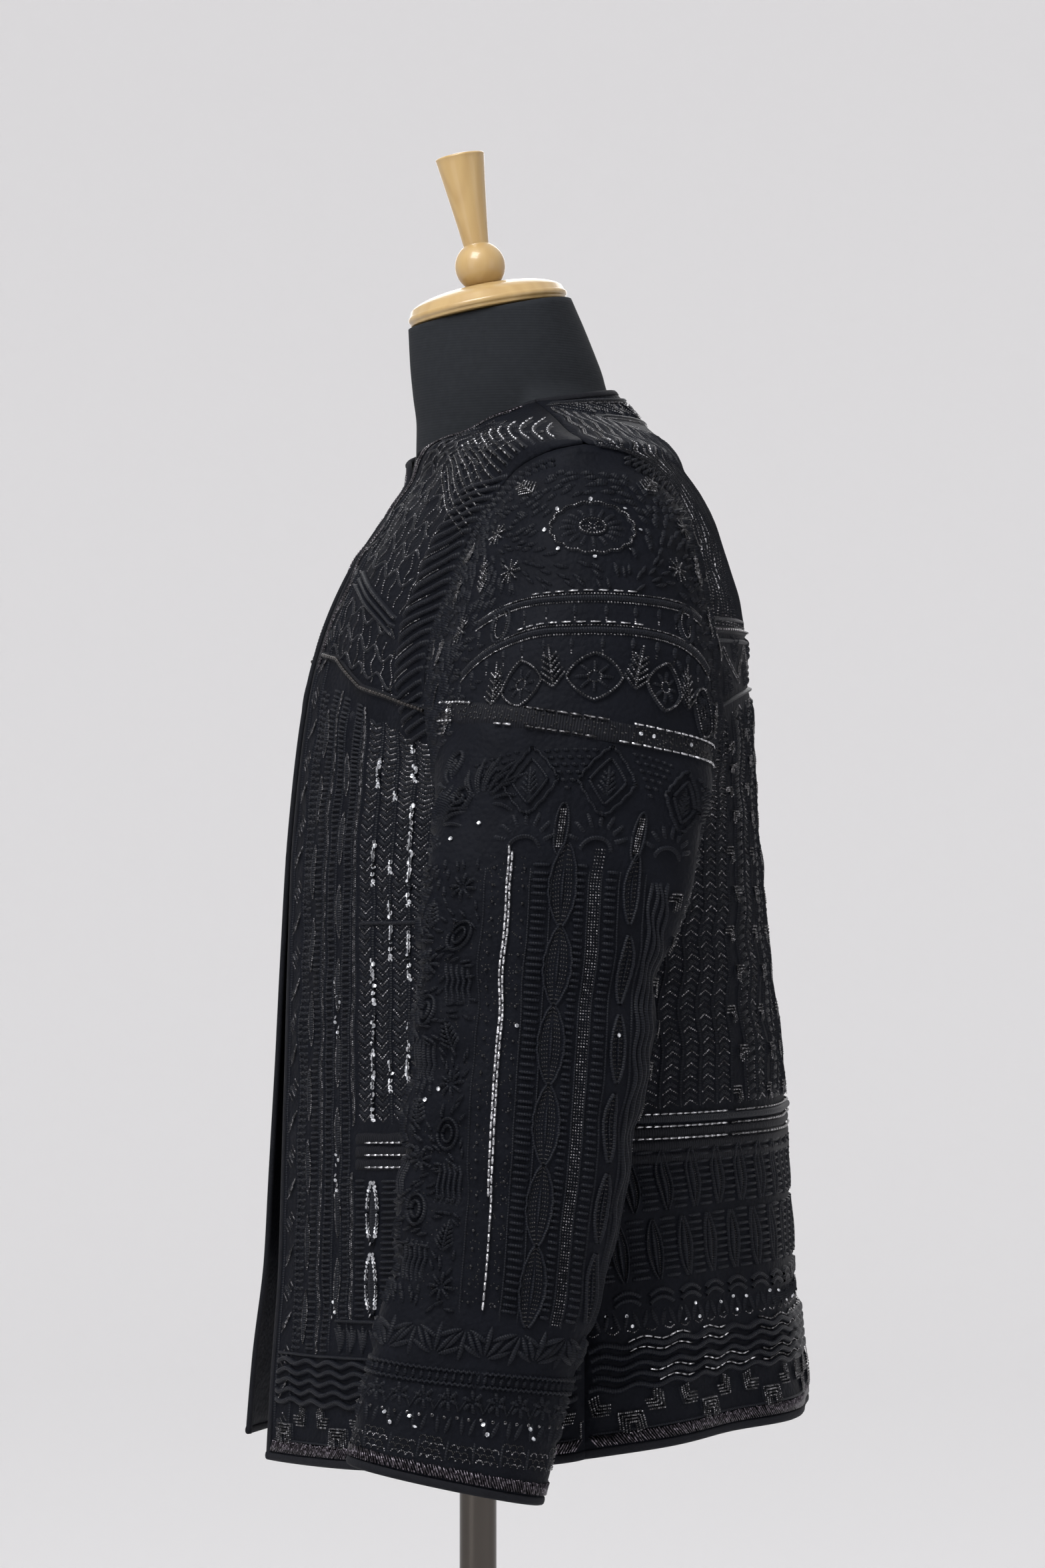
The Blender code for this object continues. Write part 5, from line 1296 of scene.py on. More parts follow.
for k, (kind, place, width, low, high) in enumerate(zip(*FRONT_COLUMNS.values())):
    line = down(place - 0.004 if place < 0.1 and low < 0.08 else place, place)
    if kind == BARS:
        ladder(front, line, low, high, width, *CLOSE_BARS, seed=k)
    elif kind == STOUT_BARS:
        ladder(front, line, low, high, width, *WIDE_BARS, seed=k)
    elif kind == LENSES:
        lens(front, line, np.arange(low + 0.021, high - 0.018, 0.0445), 0.033, width, 0.0011, beads=0.0011)
        ladder(front, line, low, high, width * 0.9, 0.0445, 0.006, 0.0007, seed=k)
    elif kind == BEADED_CORD:
        zipper(front, line, low, high)
    else:
        chevrons(front, line, low, high, width)
        chevron_pads(front, line, low, high, width)
        thin_cord(front, line, low, high, 0.0080, 0.0016, 0.0009)
for place in (0.0268, 0.0530, 0.0605, 0.0690, 0.0780, 0.0862):
    thin_cord(front, down(place - 0.003, place), BAND_TOP, 0.476, width=0.0012, height=0.0007)
level_cord(front, 0.094, 0.256, 0.322, 0.0030, 0.0014)

# bright sequins sewn down the middles of some of the chevrons and lenses, in runs
chance = np.random.default_rng(11)
for place, spans in ((0.1085, ((0.205, 0.268), (0.274, 0.300), (0.345, 0.372), (0.412, 0.440))),
                     (0.1245, ((0.222, 0.240), (0.300, 0.335), (0.352, 0.362), (0.402, 0.412))),
                     (0.1405, ((0.208, 0.262), (0.288, 0.318), (0.332, 0.398), (0.425, 0.446),
                               (0.462, 0.474))),
                     (0.1725, ((0.215, 0.262), (0.330, 0.372), (0.430, 0.470))),
                     (0.2045, ((0.240, 0.300), (0.360, 0.395))), (0.2365, ((0.206, 0.246), (0.335, 0.372)))):
    for low, high in spans:
        v = np.arange(low, high, 0.00215)
        v = v[chance.random(len(v)) < 0.93]
        sew_sequins(front, place + chance.normal(0, 0.0007, len(v)), v, 0.0031, 21)
for place, low, high in ((0.0735, 0.254, 0.288), (0.0735, 0.088, 0.100), (0.0735, 0.16, 0.20)):
    v = np.arange(low, high, 0.0030)
    sew_sequins(front, place + chance.normal(0, 0.0011, len(v)), v, 0.0024, 5)

# slanting bead strings and leaves beside the free edge, and its trim of bugles above the yoke
step = np.linspace(0, 1, 5)
for k, start in enumerate(np.arange(0.022, 0.602, 0.0200)):
    lean = 1 if k % 2 else -1
    slant = start + lean * (0.0045 * step - 0.002)
    for n in range(4):
        d = 0.0120 + 0.0022 * n + 0.0050 * step
        bead_line(front, d, slant + 0.0030 * n - 0.004, 0.0011, 0.00118, 0.0006)
    pebbles(front, 0.0155, start + 0.001 * lean, 0.0115, 0.0045, 0.7 * lean, 0.0011)
for place in (0.0082, 0.0250):
    thin_cord(front, down(place), 0.018, 0.690, width=0.0013, height=0.0008)
v = np.arange(0.480, 0.706, 0.0021)
sew_bugles(front, 0.0066, v - 0.0016, 0.0100, v + 0.0016, 0.0012, 0.0003, "trim_bugles")
bead_line(front, np.full(2, 0.0112), np.array([0.485, 0.700]), 0.0012, 0.0013, 0.0004)

# the yoke's net of wavy strings, with three level cords near its foot
for k in (0, 1, 2, *range(4, 13)):
    a = np.linspace(0.135, 0.75, 60)
    v = 0.502 + 0.0162 * k + 0.0035 * np.sin(a * 42 + k * 1.9) + 0.022 * (a - 0.4)
    d = a * row_length(FRONT, v)
    bead_line(front, d, v, 0.0010, 0.00125, 0.0003)
    sew_line(front, d, v - 0.0012, 0.0022, 0.0008, 4)
for k in range(9):
    v = np.concatenate([np.linspace(0.500, 0.5335, 20), np.linspace(0.5545, 0.690, 60)])
    a = 0.135 + 0.075 * k + 0.10 * (v - 0.5) / 0.2 + 0.010 * np.sin(v * 390 + k)
    a = np.where(v > 0.655, a - (v - 0.655) * 1.2, a)
    d = a * row_length(FRONT, v)
    for part in (slice(0, 20), slice(20, 80)):
        bead_line(front, d[part], v[part], 0.0012, 0.00155, 0.0004)
for k, height in enumerate((0.5405, 0.5455, 0.5505)):
    v = np.full(40, height)
    d = np.linspace(0.20 + 0.012 * k, 0.735, 40) * row_length(FRONT, v)
    sew_line(front, d, v, 0.0036, 0.0016, 6)
    if k != 1:
        bead_line(front, d, v, 0.0016, 0.0017, 0.0014)

# padded ribs beside the armhole, then rows of bugles that fan over the shoulder and shine at its front
RIBS, FAN_ROWS = 22, 15
step = np.linspace(0, 1, 16)
for k in range(RIBS):
    v = 0.470 + 0.0077 * k + 0.030 * step ** 0.9
    d = (0.775 + 0.21 * step) * row_length(FRONT, v)
    sew_line(front, d, v, 0.0042, 0.0015, 7)
    if k % 2 == 0:
        bead_line(front, d[:9], v[:9] - 0.0028, 0.0011, 0.0016, 0.0002)
step = np.linspace(0, 1, 24)
for k in range(FAN_ROWS):
    a = 0.97 - 0.50 * step - 0.004 * k
    v = 0.618 + 0.0061 * k + 0.006 * step + 0.010 * step ** 2
    d = a * row_length(FRONT, v)
    sew_line(front, d, v, 0.0030, 0.0010, 5)
    dull = np.count_nonzero(a > 0.44 + 0.055 * max(k - 4, 0))
    for part, kind in ((slice(0, dull), "black_bugles"), (slice(dull, 24), "bugles")):
        if len(d[part]) > 2:
            bugle_line(front, d[part], v[part], 0.0044, 0.0013, 0.0013, 0.0009, kind)


def trim(work, first, last):
    """Smoky bugles that lie slanting along an edge, just above its binding."""
    d = np.arange(first, last, 0.0017)
    lean, tip = chance.normal(0.0022, 0.0003, len(d)), chance.normal(0.0118, 0.0003, len(d))
    sew_bugles(work, d - lean, 0.0056, d + lean, tip, 0.0012, 0.0003, "trim_bugles")


def hem_bands(work, first, last, bugles):
    """Bands above a hem: slanting trim bugles, nested arrowheads and wavy cords."""
    trim(work, first, last)
    level_cord(work, first, last, 0.0128, 0.0016, 0.0008)
    for k, place in enumerate(np.arange(first + 0.008, last - 0.003, 0.0142)):
        turn = (0.75, -0.75)[k % 2] + (0, math.pi)[k // 2 % 2]
        drawn(work, (place, 0.0225), turn, arrows(0.0072, 0.0025, 4), 0.0012, 0.0016)
    wavy_cords(work, first, last, bugles)


hem_bands(front, 0.0075, 0.262, ())
level_cord(front, 0.004, 0.262, 0.0640)
level_cord(front, 0.072, 0.262, 0.0862)
for place in np.arange(0.0785, 0.255, 0.0105):
    for lean in (-1, 0, 1):
        v = np.linspace(0.0675, 0.0835 - 0.002 * abs(lean), 9)
        leaf = place + lean * 0.0042 * np.linspace(0, 1, 9) ** 1.6
        sew_rows(front, leaf, v, 0.0034 * np.sin(np.linspace(0.15, 2.9, 9)), 0.0012)
for k in range(3):
    bugle_line(front, *welt_line("front", np.linspace(0.40, 0.996, 80), 0.0020 + 0.0072 * k), lift=0.0006)
ladder(front, down(0.0955), 0.088, 0.172, 0.0090, *CLOSE_BARS, seed=31)
for k, place in enumerate((0.1075, 0.1355, 0.1635, 0.1915, 0.2195, 0.2475)):
    line = down(place)
    ladder(front, down(place + 0.0140), 0.088, 0.172, 0.0135, *CLOSE_BARS, seed=40 + k)
    for middle in (0.1500, 0.1080):
        lens(front, line, middle, 0.038, 0.0085, 0.0009, outline=0.0016)
        v = middle + 0.038 * np.linspace(-0.47, 0.47, 16)
        swell = 0.0050 * np.sin(np.linspace(0.18, 2.96, 16)) ** 0.8
        for side in (-1, 1):
            sew_sequins(front, line(v) + side * swell, v, 0.0029, 60 + k)
bugle_line(front, *yoke_line("front", FRONT, 0.10), 0.0024, 0.0009, 0.0022, 0.0011, "pearls")
finish_work("front", front, ("left", "right"))


# The back follows the fronts: lenses and ladders over the hem bands, ropes of bugles in the waist welts,
# columns of arrowheads and chevrons that lean in toward the yoke, and wavy strings of beads over the
# shoulder blades.
def back_inside(d, v):
    """True for places on half of the back, inside its bindings and seams."""
    return (d > -0.0003) & (d < row_length(BACK, v) - 0.0015) & (v > BINDING_CLEAR) & (v < 0.7040)


back = new_work(lambda d, v: on_panel(BACK, d, v), back_inside)
ropes = []
for k in (0, 1, 3, 4):
    ropes += [(k, 0.0, 0.19, "black_bugles"), (k, 0.195 + 0.006 * k, 0.245, "bugles"),
              (k, 0.250, 0.285 + 0.003 * k, "bugles")]
hem_bands(back, 0.0, 0.330, ropes)
BACK_BARS = 0.0040, 0.0027, 0.0012       # pitch, width and height
for k, place in enumerate(np.arange(0.0060, 0.325, 0.0118)):
    pebbles(back, place + np.array([-0.0030, 0.0030]), 0.0735, 0.0105, 0.0030, np.array([1.25, 1.89]), 0.0011)
    bead_line(back, place + np.array([-0.0036, 0, 0.0036]), np.array([0.0680, 0.0662, 0.0680]), 0.0012)
    if k % 4 != 3:
        heights = np.array([0.0700, 0.0760 + 0.001 * (k % 3)])
        sew_sequins(back, place + np.array([0.0, 0.0024]), heights, 0.0022, 70 + k, tip=0.5)
ladder(back, down(0.0027), 0.0940, 0.1880, 0.0050, *BACK_BARS, seed=6)
for k, place in enumerate(np.arange(0.0107, 0.325, 0.0215)):
    step = np.linspace(-1, 1, 9)
    for n in range(2):
        sew_rows(back, place + 0.0078 * step, 0.0815 + 0.0042 * n + 0.0032 * (1 - step ** 2), 0.0030, 0.0011)
    for middle, shift in ((0.1115, 0.0), (0.1500, 0.01075)):
        line = down(place + shift)
        lens(back, line, middle, 0.033, 0.0034, 0.0010)
        almond = middle + 0.034 * np.linspace(-0.5, 0.5, 13)
        swell = np.sin(np.linspace(0.1, 3.04, 13)) ** 0.8
        for side in (-1, 1):
            sew_rows(back, line(almond) + side * 0.0048 * swell, almond, 0.0017, 0.0011)
            bead_line(back, line(almond) + side * 0.0032 * swell, almond, 0.0010, 0.0013, kind="jet_beads")
        between = down(place + 0.01075 - shift)
        ladder(back, between, middle - 0.0175, middle + 0.0185, 0.0112, *BACK_BARS, seed=k)
for k in range(3):
    for first, last, kind in ((0.02, 0.66, "black_bugles"), (0.67, 0.995, "bugles")):
        places = welt_line("back", np.linspace(first, last, 60), 0.0152 + 0.0070 * k)
        bugle_line(back, *places, lift=0.0008, kind=kind)
sew_line(back, *welt_line("back", np.linspace(0.0, 0.995, 80), 0.0262), 0.0062, 0.0018, 7)


def leaning(place):
    """Centre line of a column of the back, from its distance at the waist."""
    return lambda v: place * np.interp(v, (0.18, 0.25, 0.33, 0.46), (1.05, 1.0, 0.89, 0.80))


LOW, HIGH = 0.190, 0.456        # ends of the back's columns
for k, place in enumerate(0.0075 + 0.0144 * np.arange(19)):
    line, outer = leaning(place), place > 0.19
    if outer or k % 3 == 1:
        chevrons(back, line, LOW, HIGH, 0.0050, 0.0070, 0.0012, 5, 0.6, -1)
        chevron_pads(back, line, LOW, HIGH, 0.0046, 0.0070, 0.6, -1)
    elif k % 3 == 0:
        for n, v in enumerate(np.arange(0.200, 0.452, 0.0236)):
            drawn(back, (line(v), v), (0.75, -0.75)[n % 2], arrows(0.0062, 0.0026), 0.0012, 0.0017)
    else:
        ladder(back, line, LOW, HIGH, 0.0085, 0.0056, 0.0034, 0.0012, (0.3, -0.3)[k // 3 % 2], seed=k)
        for side in (-1, 1):
            v = np.arange(LOW, HIGH, 0.002)
            bead_line(back, line(v) + side * 0.0048 + 0.0006 * np.sin(v * 600), v, 0.0010, 0.0019, 0.0002)
    thin_cord(back, leaning(place + 0.0072), LOW, HIGH, width=0.0017, height=0.0010)
level_cord(back, 0.0, 0.26, 0.4590, 0.0030, 0.0014)
d = np.arange(0.0, 0.215, 0.0040)
for offset in (0.0, 0.0034):
    bead_line(back, d, 0.4660 + offset + 0.0190 * np.abs(d / 0.024 % 2 - 1), 0.0012, 0.0013, 0.0003)
for k in range(9):
    start, rise, upside = ((0.4655, 0.0045, 1), (0.4905, -0.0045, -1))[k % 2]
    for n in range(3):
        pair = 0.024 * k + np.array([-0.0050, 0.0050]) * (3 - n) / 3
        pebbles(back, pair, start + rise * n, 0.0080, 0.0030, np.array([0.9, 2.24]) * upside)
bugle_line(back, *yoke_line("back", BACK), 0.0032, 0.0012, 0.0013, 0.0013, "trim_bugles")
for lift, width in ((-0.0062, 0.0030), (0.0066, 0.0036)):
    sew_line(back, *yoke_line("back", BACK, drop=-lift), width, 0.0010)
for k in range(27):
    v = np.linspace(0.4985, 0.7035, 68)
    d = np.maximum(0.965 - 0.037 * k + 0.008 * np.sin(v * 260 + 1.7 * k), 0.006) * row_length(BACK, v)
    kept = np.cumprod((v < 0.665 - 0.0008 * k) | (d > 0.118)) > 0
    d, v = d[kept], v[kept]
    sew_line(back, d + 0.0026, v, 0.0022, 0.0009, 3)
    for side in (0, 1) if k < 9 else (0,):
        bead_line(back, d - 0.0014 * side, v, 0.0012, 0.0017, 0.0003)
    if k in (1, 3, 5):
        bugle_line(back, d[6:44] - 0.0030, v[6:44], 0.0024, 0.0012, 0.0012)
for k in range(7):
    motif = (rounded(0.0060, 0.0075), rays(8, 0.001, 0.0065))[k % 2]
    drawn(back, (0.0085 + 0.017 * k, 0.6835), 0.0, motif, 0.0011, 0.0016)
for height in (0.6710, 0.6950):
    level_cord(back, 0.0, 0.118, height)
    bead_line(back, np.array([0.0, 0.118]), np.full(2, height - 0.0024), 0.0012, 0.0017, 0.0003)
finish_work("back", back, ("left", "right"))


# The sleeves are worked in columns as well: a bright rope of bugles, ladders, wide lenses, a ribbon of
# beads and wavy ribs, then a wide ornamental border at the cuff and another set of motifs over the head.
def sleeve_inside(d, v):
    """True for places on a sleeve between its binding and the seam into the armhole."""
    return (v > BINDING_CLEAR) & (v < 0.6235)


sleeve = new_work(lambda d, v: on_panel(SLEEVE_CLOTH, d, v), sleeve_inside)
chance = np.random.default_rng(23)
FOOT, TOP = 0.0990, 0.3600      # heights above the cuff between which the columns run


def beside(offset):
    """Line down the sleeve at a distance toward the front (above zero) from the rope of bugles."""
    heights = 0.095, 0.15, 0.205, 0.27, 0.31, 0.345, 0.37
    rope = 0.0085, 0.016, 0.0212, 0.0253, 0.0282, 0.034, 0.036
    return lambda v: np.interp(v, heights, rope) + offset * np.interp(v, (0.10, 0.20), (0.95, 1.0))


for shift, low in ((0.0009, 0.1600), (-0.0009, FOOT)):
    v = np.arange(low, 0.3650, 0.004) + 0.0025 * (shift > 0)
    bugle_line(sleeve, beside(shift)(v), v, 0.0048, 0.0007, 0.0017, 0.0004)
v = np.arange(FOOT + 0.004, TOP, 0.0100)
for side in (-0.0083, 0.0086):
    pebbles(sleeve, beside(side)(v), v, 0.0022, 0.0022, 0.0, 0.0013)
    sew_beads(sleeve, beside(side)(v), v, 0.0016, 0.0010, "jet_beads")
spots = FOOT + chance.random(330) * (TOP - FOOT)
away = np.where(chance.random(330) < 0.5, -1, 1) * chance.uniform(0.003, 0.0125, 330)
sew_beads(sleeve, beside(0.0)(spots) + away, spots, 0.0010, 0.0, "jet_beads")
for offset, width, pitch in ((-0.0177, 0.0102, 0.0041), (-0.0405, 0.0066, 0.0038), (-0.0585, 0.0078, 0.0040)):
    ladder(sleeve, beside(offset), FOOT, TOP - 0.004, width, pitch, 0.0026, 0.0013, seed=int(-offset * 1e4))
for offset in (-0.0120, 0.0135, -0.0240, -0.0455, -0.0528, -0.0635, -0.0795):
    thin_cord(sleeve, beside(offset), FOOT - 0.004, TOP - 0.003, width=0.0013, height=0.0008)
for offset, first, pitch, long, half in ((-0.0305, 0.3436, 0.0454, 0.0450, 0.0074),
                                         (-0.0710, 0.3437, 0.0447, 0.0385, 0.0043)):
    line = beside(offset)
    for middle in first - pitch * np.arange(6):
        v = middle + long * np.linspace(-0.5, 0.5, 21)
        swell = np.sin(np.linspace(0.06, 3.08, 21)) ** 0.7
        scallop = 1 + 0.10 * np.abs(np.sin(np.linspace(0, 6 * math.pi, 21)))
        lens(sleeve, line, middle, long * 0.55, half * 0.30, 0.0009)
        for side in (-1, 1):
            sew_rows(sleeve, line(v) + side * half * swell * scallop, v, 0.0019, 0.0012)
            for inner in (0.26, 0.48, 0.70) if half > 0.006 else (0.30, 0.62):
                bead_line(sleeve, line(v) + side * half * inner * swell, v, 0.0011, 0.0024, kind="jet_beads")
v = np.arange(FOOT - 0.002, 0.3660, 0.004)
for n in range(4):
    bead_line(sleeve, beside(-0.0492 + 0.00165 * (n - 1.5))(v), v, 0.0010, 0.0017, 0.0004)
for k, offset in enumerate((-0.0830, -0.0868, -0.0906, -0.0944)):
    v = np.arange(FOOT - 0.005, 0.3500, 0.003)
    sew_line(sleeve, beside(offset)(v) + 0.0011 * np.sin(v * (230 + 20 * k) + k), v, 0.0026, 0.0012)
for n, v in enumerate(np.arange(FOOT + 0.008, 0.3460, 0.0236)):
    drawn(sleeve, (beside(-0.1050)(v), v), (0.75, -0.75)[n % 2], arrows(0.0062, 0.0026), 0.0012, 0.0018)
for k, offset in enumerate((-0.1170, -0.1300, -0.1430, -0.1560, 0.1180, 0.1310, 0.1440)):
    if k % 2:
        ladder(sleeve, beside(offset), FOOT, TOP - 0.012, 0.0090, 0.0044, 0.0028, 0.0012, seed=90 + k)
    else:
        chevrons(sleeve, beside(offset), FOOT, TOP - 0.014, 0.0046, 0.0075, 0.0012, 4)
        chevron_pads(sleeve, beside(offset), FOOT, TOP - 0.014, 0.0044, 0.0075)
    thin_cord(sleeve, beside(offset - 0.0065), FOOT, TOP - 0.010, width=0.0016, height=0.0009)

# front of the sleeve: feathers, stars and ribs in tone-on-tone stitches
motifs = []
for k, offset in enumerate((0.0260, 0.0450, 0.0640, 0.0830, 0.1020)):
    for n, v in enumerate(np.arange(FOOT + 0.010 + 0.012 * (k % 2), 0.345, 0.0290)):
        middle, lean = (beside(offset)(v), v), chance.uniform(-0.5, 0.5)
        pick = (k * 2 + n) % 4
        motifs.append((*middle, 0.0088))
        if pick == 0:
            drawn(sleeve, middle, lean, rays(8, 0.0012, 0.0086), 0, 0.0026, 0.0019)
        elif pick == 1:
            drawn(sleeve, (middle[0], v - 0.009), lean, sprig(0.0190, 5, 0.0085), 0, 0.0024, 0.0019)
        elif pick == 2:
            for shift in (-0.0068, -0.0034, 0.0, 0.0034, 0.0068):
                w = v + np.linspace(-0.012, 0.012, 6)
                sew_line(sleeve, middle[0] + shift + 0.0009 * np.sin(w * 500), w, 0.0026, 0.0013)
        else:
            drawn(sleeve, middle, lean, rounded(0.0058, 0.0088) + rounded(0.0028, 0.0048), 0, 0.0024, 0.0019)
d, v = strewn(chance, 620, 0.0160, 0.1120, FOOT - 0.004, 0.3560)
flowing(sleeve, (beside(0.0)(v) + d, v), motifs, 0.0070, 0.0024)
spots = FOOT + chance.random(260) * 0.255
sew_beads(sleeve, beside(0.0)(spots) + chance.uniform(0.015, 0.085, 260), spots, 0.0010, 0.0, "jet_beads")
for d, v in ((0.062, 0.214), (0.055, 0.221), (0.068, 0.209), (0.0150, 0.262), (-0.046, 0.262), (0.071, 0.372),
             (0.055, 0.379)):
    sew_sequins(sleeve, d, v, 0.0026, int(v * 1000))

# under the band: rising suns, ovals, scalloped diamonds, bead-filled triangles, ferns and spirals
half_turn = np.linspace(0.1, 3.04, 15)
sun = [(0.0088 * np.cos(half_turn), 0.0072 * np.sin(half_turn))]
for middle in (0.0288, -0.0109, -0.0549, -0.1000, 0.0960):
    drawn(sleeve, (middle, 0.3640), 0.0, rays(7, 0.0105, 0.0185, 0.35, 2.45), 0, 0.0030, 0.0013)
    drawn(sleeve, (middle, 0.3620), 0.0, sun, 0, 0.0028, 0.0015)
for middle, v in ((0.0094, 0.3730), (-0.0340, 0.3720)):
    drawn(sleeve, (middle, v), 0.0, rounded(0.0036, 0.0125), 0, 0.0018, 0.0012)
    ends = v + np.array([-0.0095, 0.0095])
    for n in (-1, 0, 1):
        bead_line(sleeve, middle + 0.0013 * n + np.zeros(2), ends, 0.0012, 0.0013, 0.0003)
diamond = rounded(0.0140, 0.0165, 1.15, 20, 0.10) + rounded(0.0095, 0.0115, 1.1)
for middle, v in ((0.0290, 0.3975), (-0.0110, 0.3970), (-0.0600, 0.3965), (-0.1080, 0.3965)):
    drawn(sleeve, (middle, v), 0.0, diamond, 0, 0.0021, 0.0014)
    drawn(sleeve, (middle, v - 0.0070), 0.0, sprig(0.0150, 4, 0.0068), 0, 0.0022, 0.0012)
for middle in (0.0090, -0.0355, -0.0840, 0.0500):
    for n in range(6):
        d = middle + 0.0047 * (np.arange(6 - n) - (5 - n) / 2)
        v = 0.4130 - 0.0038 * n + 0.05 * abs(middle + 0.01) - 0.002
        pebbles(sleeve, d, v, 0.0040, 0.0025, 0.15, 0.0013)
FERNS = ((0.0560, 0.3900, 0.0), (0.0560, 0.3900, 0.9), (0.0560, 0.3900, -0.8), (0.0880, 0.3850, 0.3),
         (0.0880, 0.3850, -0.7), (0.0780, 0.4080, 1.2), (0.1150, 0.3800, 0.0), (0.1400, 0.3700, 0.2))
for k, (d, v, turn) in enumerate(FERNS):
    drawn(sleeve, (d, v), -turn, rays(5, 0.007, 0.027 - 0.003 * (k % 3), 0.8, 1.55, 0.35), 0, 0.0024, 0.0019)
turn = np.linspace(0, 3.4 * math.pi, 40)
out = 0.0080 * turn / 10.7
for place in ((0.0800, 0.4250), (0.0690, 0.3980)):
    drawn(sleeve, place, 0.4, [(out * np.cos(turn), out * np.sin(turn))], 0, 0.0024, 0.0019)

# the band's bugles along both its edges, with jet beads and a few sequins between
for lift, bright in ((0.0010, ((0.235, 0.195), (0.13, 0.09), (-0.03, -0.262))),
                     (0.0120, ((0.235, 0.16), (-0.045, -0.255)))):
    for first, last in bright:
        bugle_line(sleeve, *band_line(lift, first, last, 40), 0.0052, 0.0016, 0.0014, 0.0008)
    bugle_line(sleeve, *band_line(lift, 0.085, -0.02, 40), 0.0052, 0.0012, 0.0014, 0.0008, "black_bugles")
for lift in (0.0035, 0.0065, 0.0095):
    d, v = band_line(lift, 0.235, -0.255, 90)
    pick = chance.random(90) < 0.8
    d = d[pick] + chance.normal(0, 0.0008, pick.sum())
    v = v[pick] + chance.normal(0, 0.0007, pick.sum())
    sew_beads(sleeve, d, v, 0.0013, 0.0008, "jet_beads")
for share in (0.21, -0.06, -0.08, -0.15):
    sew_sequins(sleeve, *band_line(0.0070, share, share, 1), 0.0027, int(share * -300 + 90), 0.0022)


# The sleeve head carries plain motifs on both sides of a beaded rosette: swags with drops, stars, sprigs,
# ovals and squares, in padded satin stitch with seed beads along it. Small leaves fill the ground between
# them.
def over_head(d, w):
    """Place on the head by its distance forward of the shoulder line and down from the seam."""
    return d, CROWN - w


for w, first, last in ((0.012, 0.03, 0.27), (0.019, 0.03, 0.27), (0.009, -0.04, -0.26),
                       (0.0145, -0.04, -0.26), (0.020, -0.05, -0.26)):
    way = np.sign(last)
    around = row_length(SLEEVE_CLOTH, CROWN - w)
    d = np.arange(first, last, 0.0052 / around * way) * around
    pebbles(sleeve, d, CROWN - w, 0.0064, 0.0038, 0.75 * way, 0.0020)
rosette = over_head(0.0, 0.085)
drawn(sleeve, rosette, 0.0, rays(16, 0.0075, 0.0155), 0, 0.0030, 0.0014)
drawn(sleeve, rosette, 0.0, rounded(0.0058, 0.0058) + rounded(0.0186, 0.0186, 2, 16, 0.08), 0.0013, 0.0022)
drawn(sleeve, rosette, 0.1, rays(6, 0.0010, 0.0048), 0.0012)
for n in range(8):
    d, v = rosette[0] + 0.0225 * math.cos(n * 0.785), rosette[1] + 0.0225 * math.sin(n * 0.785)
    sew_sequins(sleeve, d, v, 0.0025, 200 + n)


def swag_height(d, half, w, sag):
    """Height of a swag at a distance from its middle: its ends lie w below the seam, its middle sags."""
    return CROWN - w - sag * (1 - (d / half) ** 2)


SWAGS = (0.080, 0.120, 0.014), (0.092, 0.143, 0.010)
for half, w, sag in SWAGS:
    d = np.linspace(-half, half, 60)
    v = swag_height(d, half, w, sag)
    sew_line(sleeve, d, v, 0.0040, 0.0014)
    bead_line(sleeve, d, v - 0.0026, 0.0013, 0.0014, 0.0003)
    bead_line(sleeve, d, v + 0.0026, 0.0013, 0.0014, 0.0003)
    bugle_line(sleeve, d[22:44], v[22:44] + 0.0044, 0.0042, 0.0022, 0.0013, 0.0003)
    for n, place in enumerate(np.arange(-half + 0.008, half, 0.0135)):
        hang = np.interp(place, d, v) - 0.0072
        pebbles(sleeve, place, hang, 0.0066, 0.0034, math.pi / 2, 0.0013)
        bead_line(sleeve, np.full(2, place), hang - np.array([0.0040, 0.0064]), 0.0012)
motifs = [(*rosette, 0.0250)]
for side in (-1, 1):
    for d, w in ((0.058, 0.068), (0.046, 0.106), (0.108, 0.062), (0.098, 0.106)):
        drawn(sleeve, over_head(side * d, w), 0.2 * side, rays(8, 0.0012, 0.0078), 0.0013, 0.0020)
        motifs.append((*over_head(side * d, w), 0.0098))
    for d, w, lean in ((0.030, 0.048, 0.5), (0.076, 0.100, -0.3), (0.086, 0.050, 0.8), (0.125, 0.098, 0.3),
                       (0.019, 0.184, 0.1), (0.057, 0.183, -0.1), (0.098, 0.172, 0.2)):
        drawn(sleeve, over_head(side * d, w), -side * lean, sprig(0.0230, 5, 0.0100), 0.0013, 0.0022, 0.0013)
        motifs.append((side * (d + 0.004), CROWN - w + 0.010, 0.0125))
    for d, w in ((0.055, 0.136), (0.128, 0.122), (0.140, 0.072)):
        drawn(sleeve, over_head(side * d, w), 0.0, rounded(0.0050, 0.0080), 0.0012)
        drawn(sleeve, over_head(side * d, w), 0.0, rounded(0.0078, 0.0108), 0, 0.0022, 0.0014)
        motifs.append((*over_head(side * d, w), 0.0100))
    for d in (0.0, 0.038) if side > 0 else (0.038, 0.076):
        middle = over_head(side * d, 0.1790 - 0.09 * max(d - 0.03, 0))
        drawn(sleeve, middle, 0.0, rounded(0.0125, 0.0125, 1.4), 0.0013, 0.0022, 0.0014)
        drawn(sleeve, middle, 0.0, rays(8, 0.0020, 0.0090), 0, 0.0024, 0.0014)
        drawn(sleeve, middle, 0.0, rounded(0.0030, 0.0030), 0.0012)
        motifs.append((*middle, 0.0145))
    for w, shift in ((0.040, 0.150), (0.064, 0.158)):
        drawn(sleeve, over_head(side * shift, w), side * 0.8, arrows(0.0060, 0.0028), 0.0012, 0.0018)
places = strewn(chance, 900, -0.150, 0.150, 0.450, 0.598)
for half, w, sag in SWAGS:
    near = np.abs(places[1] - swag_height(places[0], half, w, sag) + 0.003) < 0.010
    places = [p[~(near & (np.abs(places[0]) < half))] for p in places]
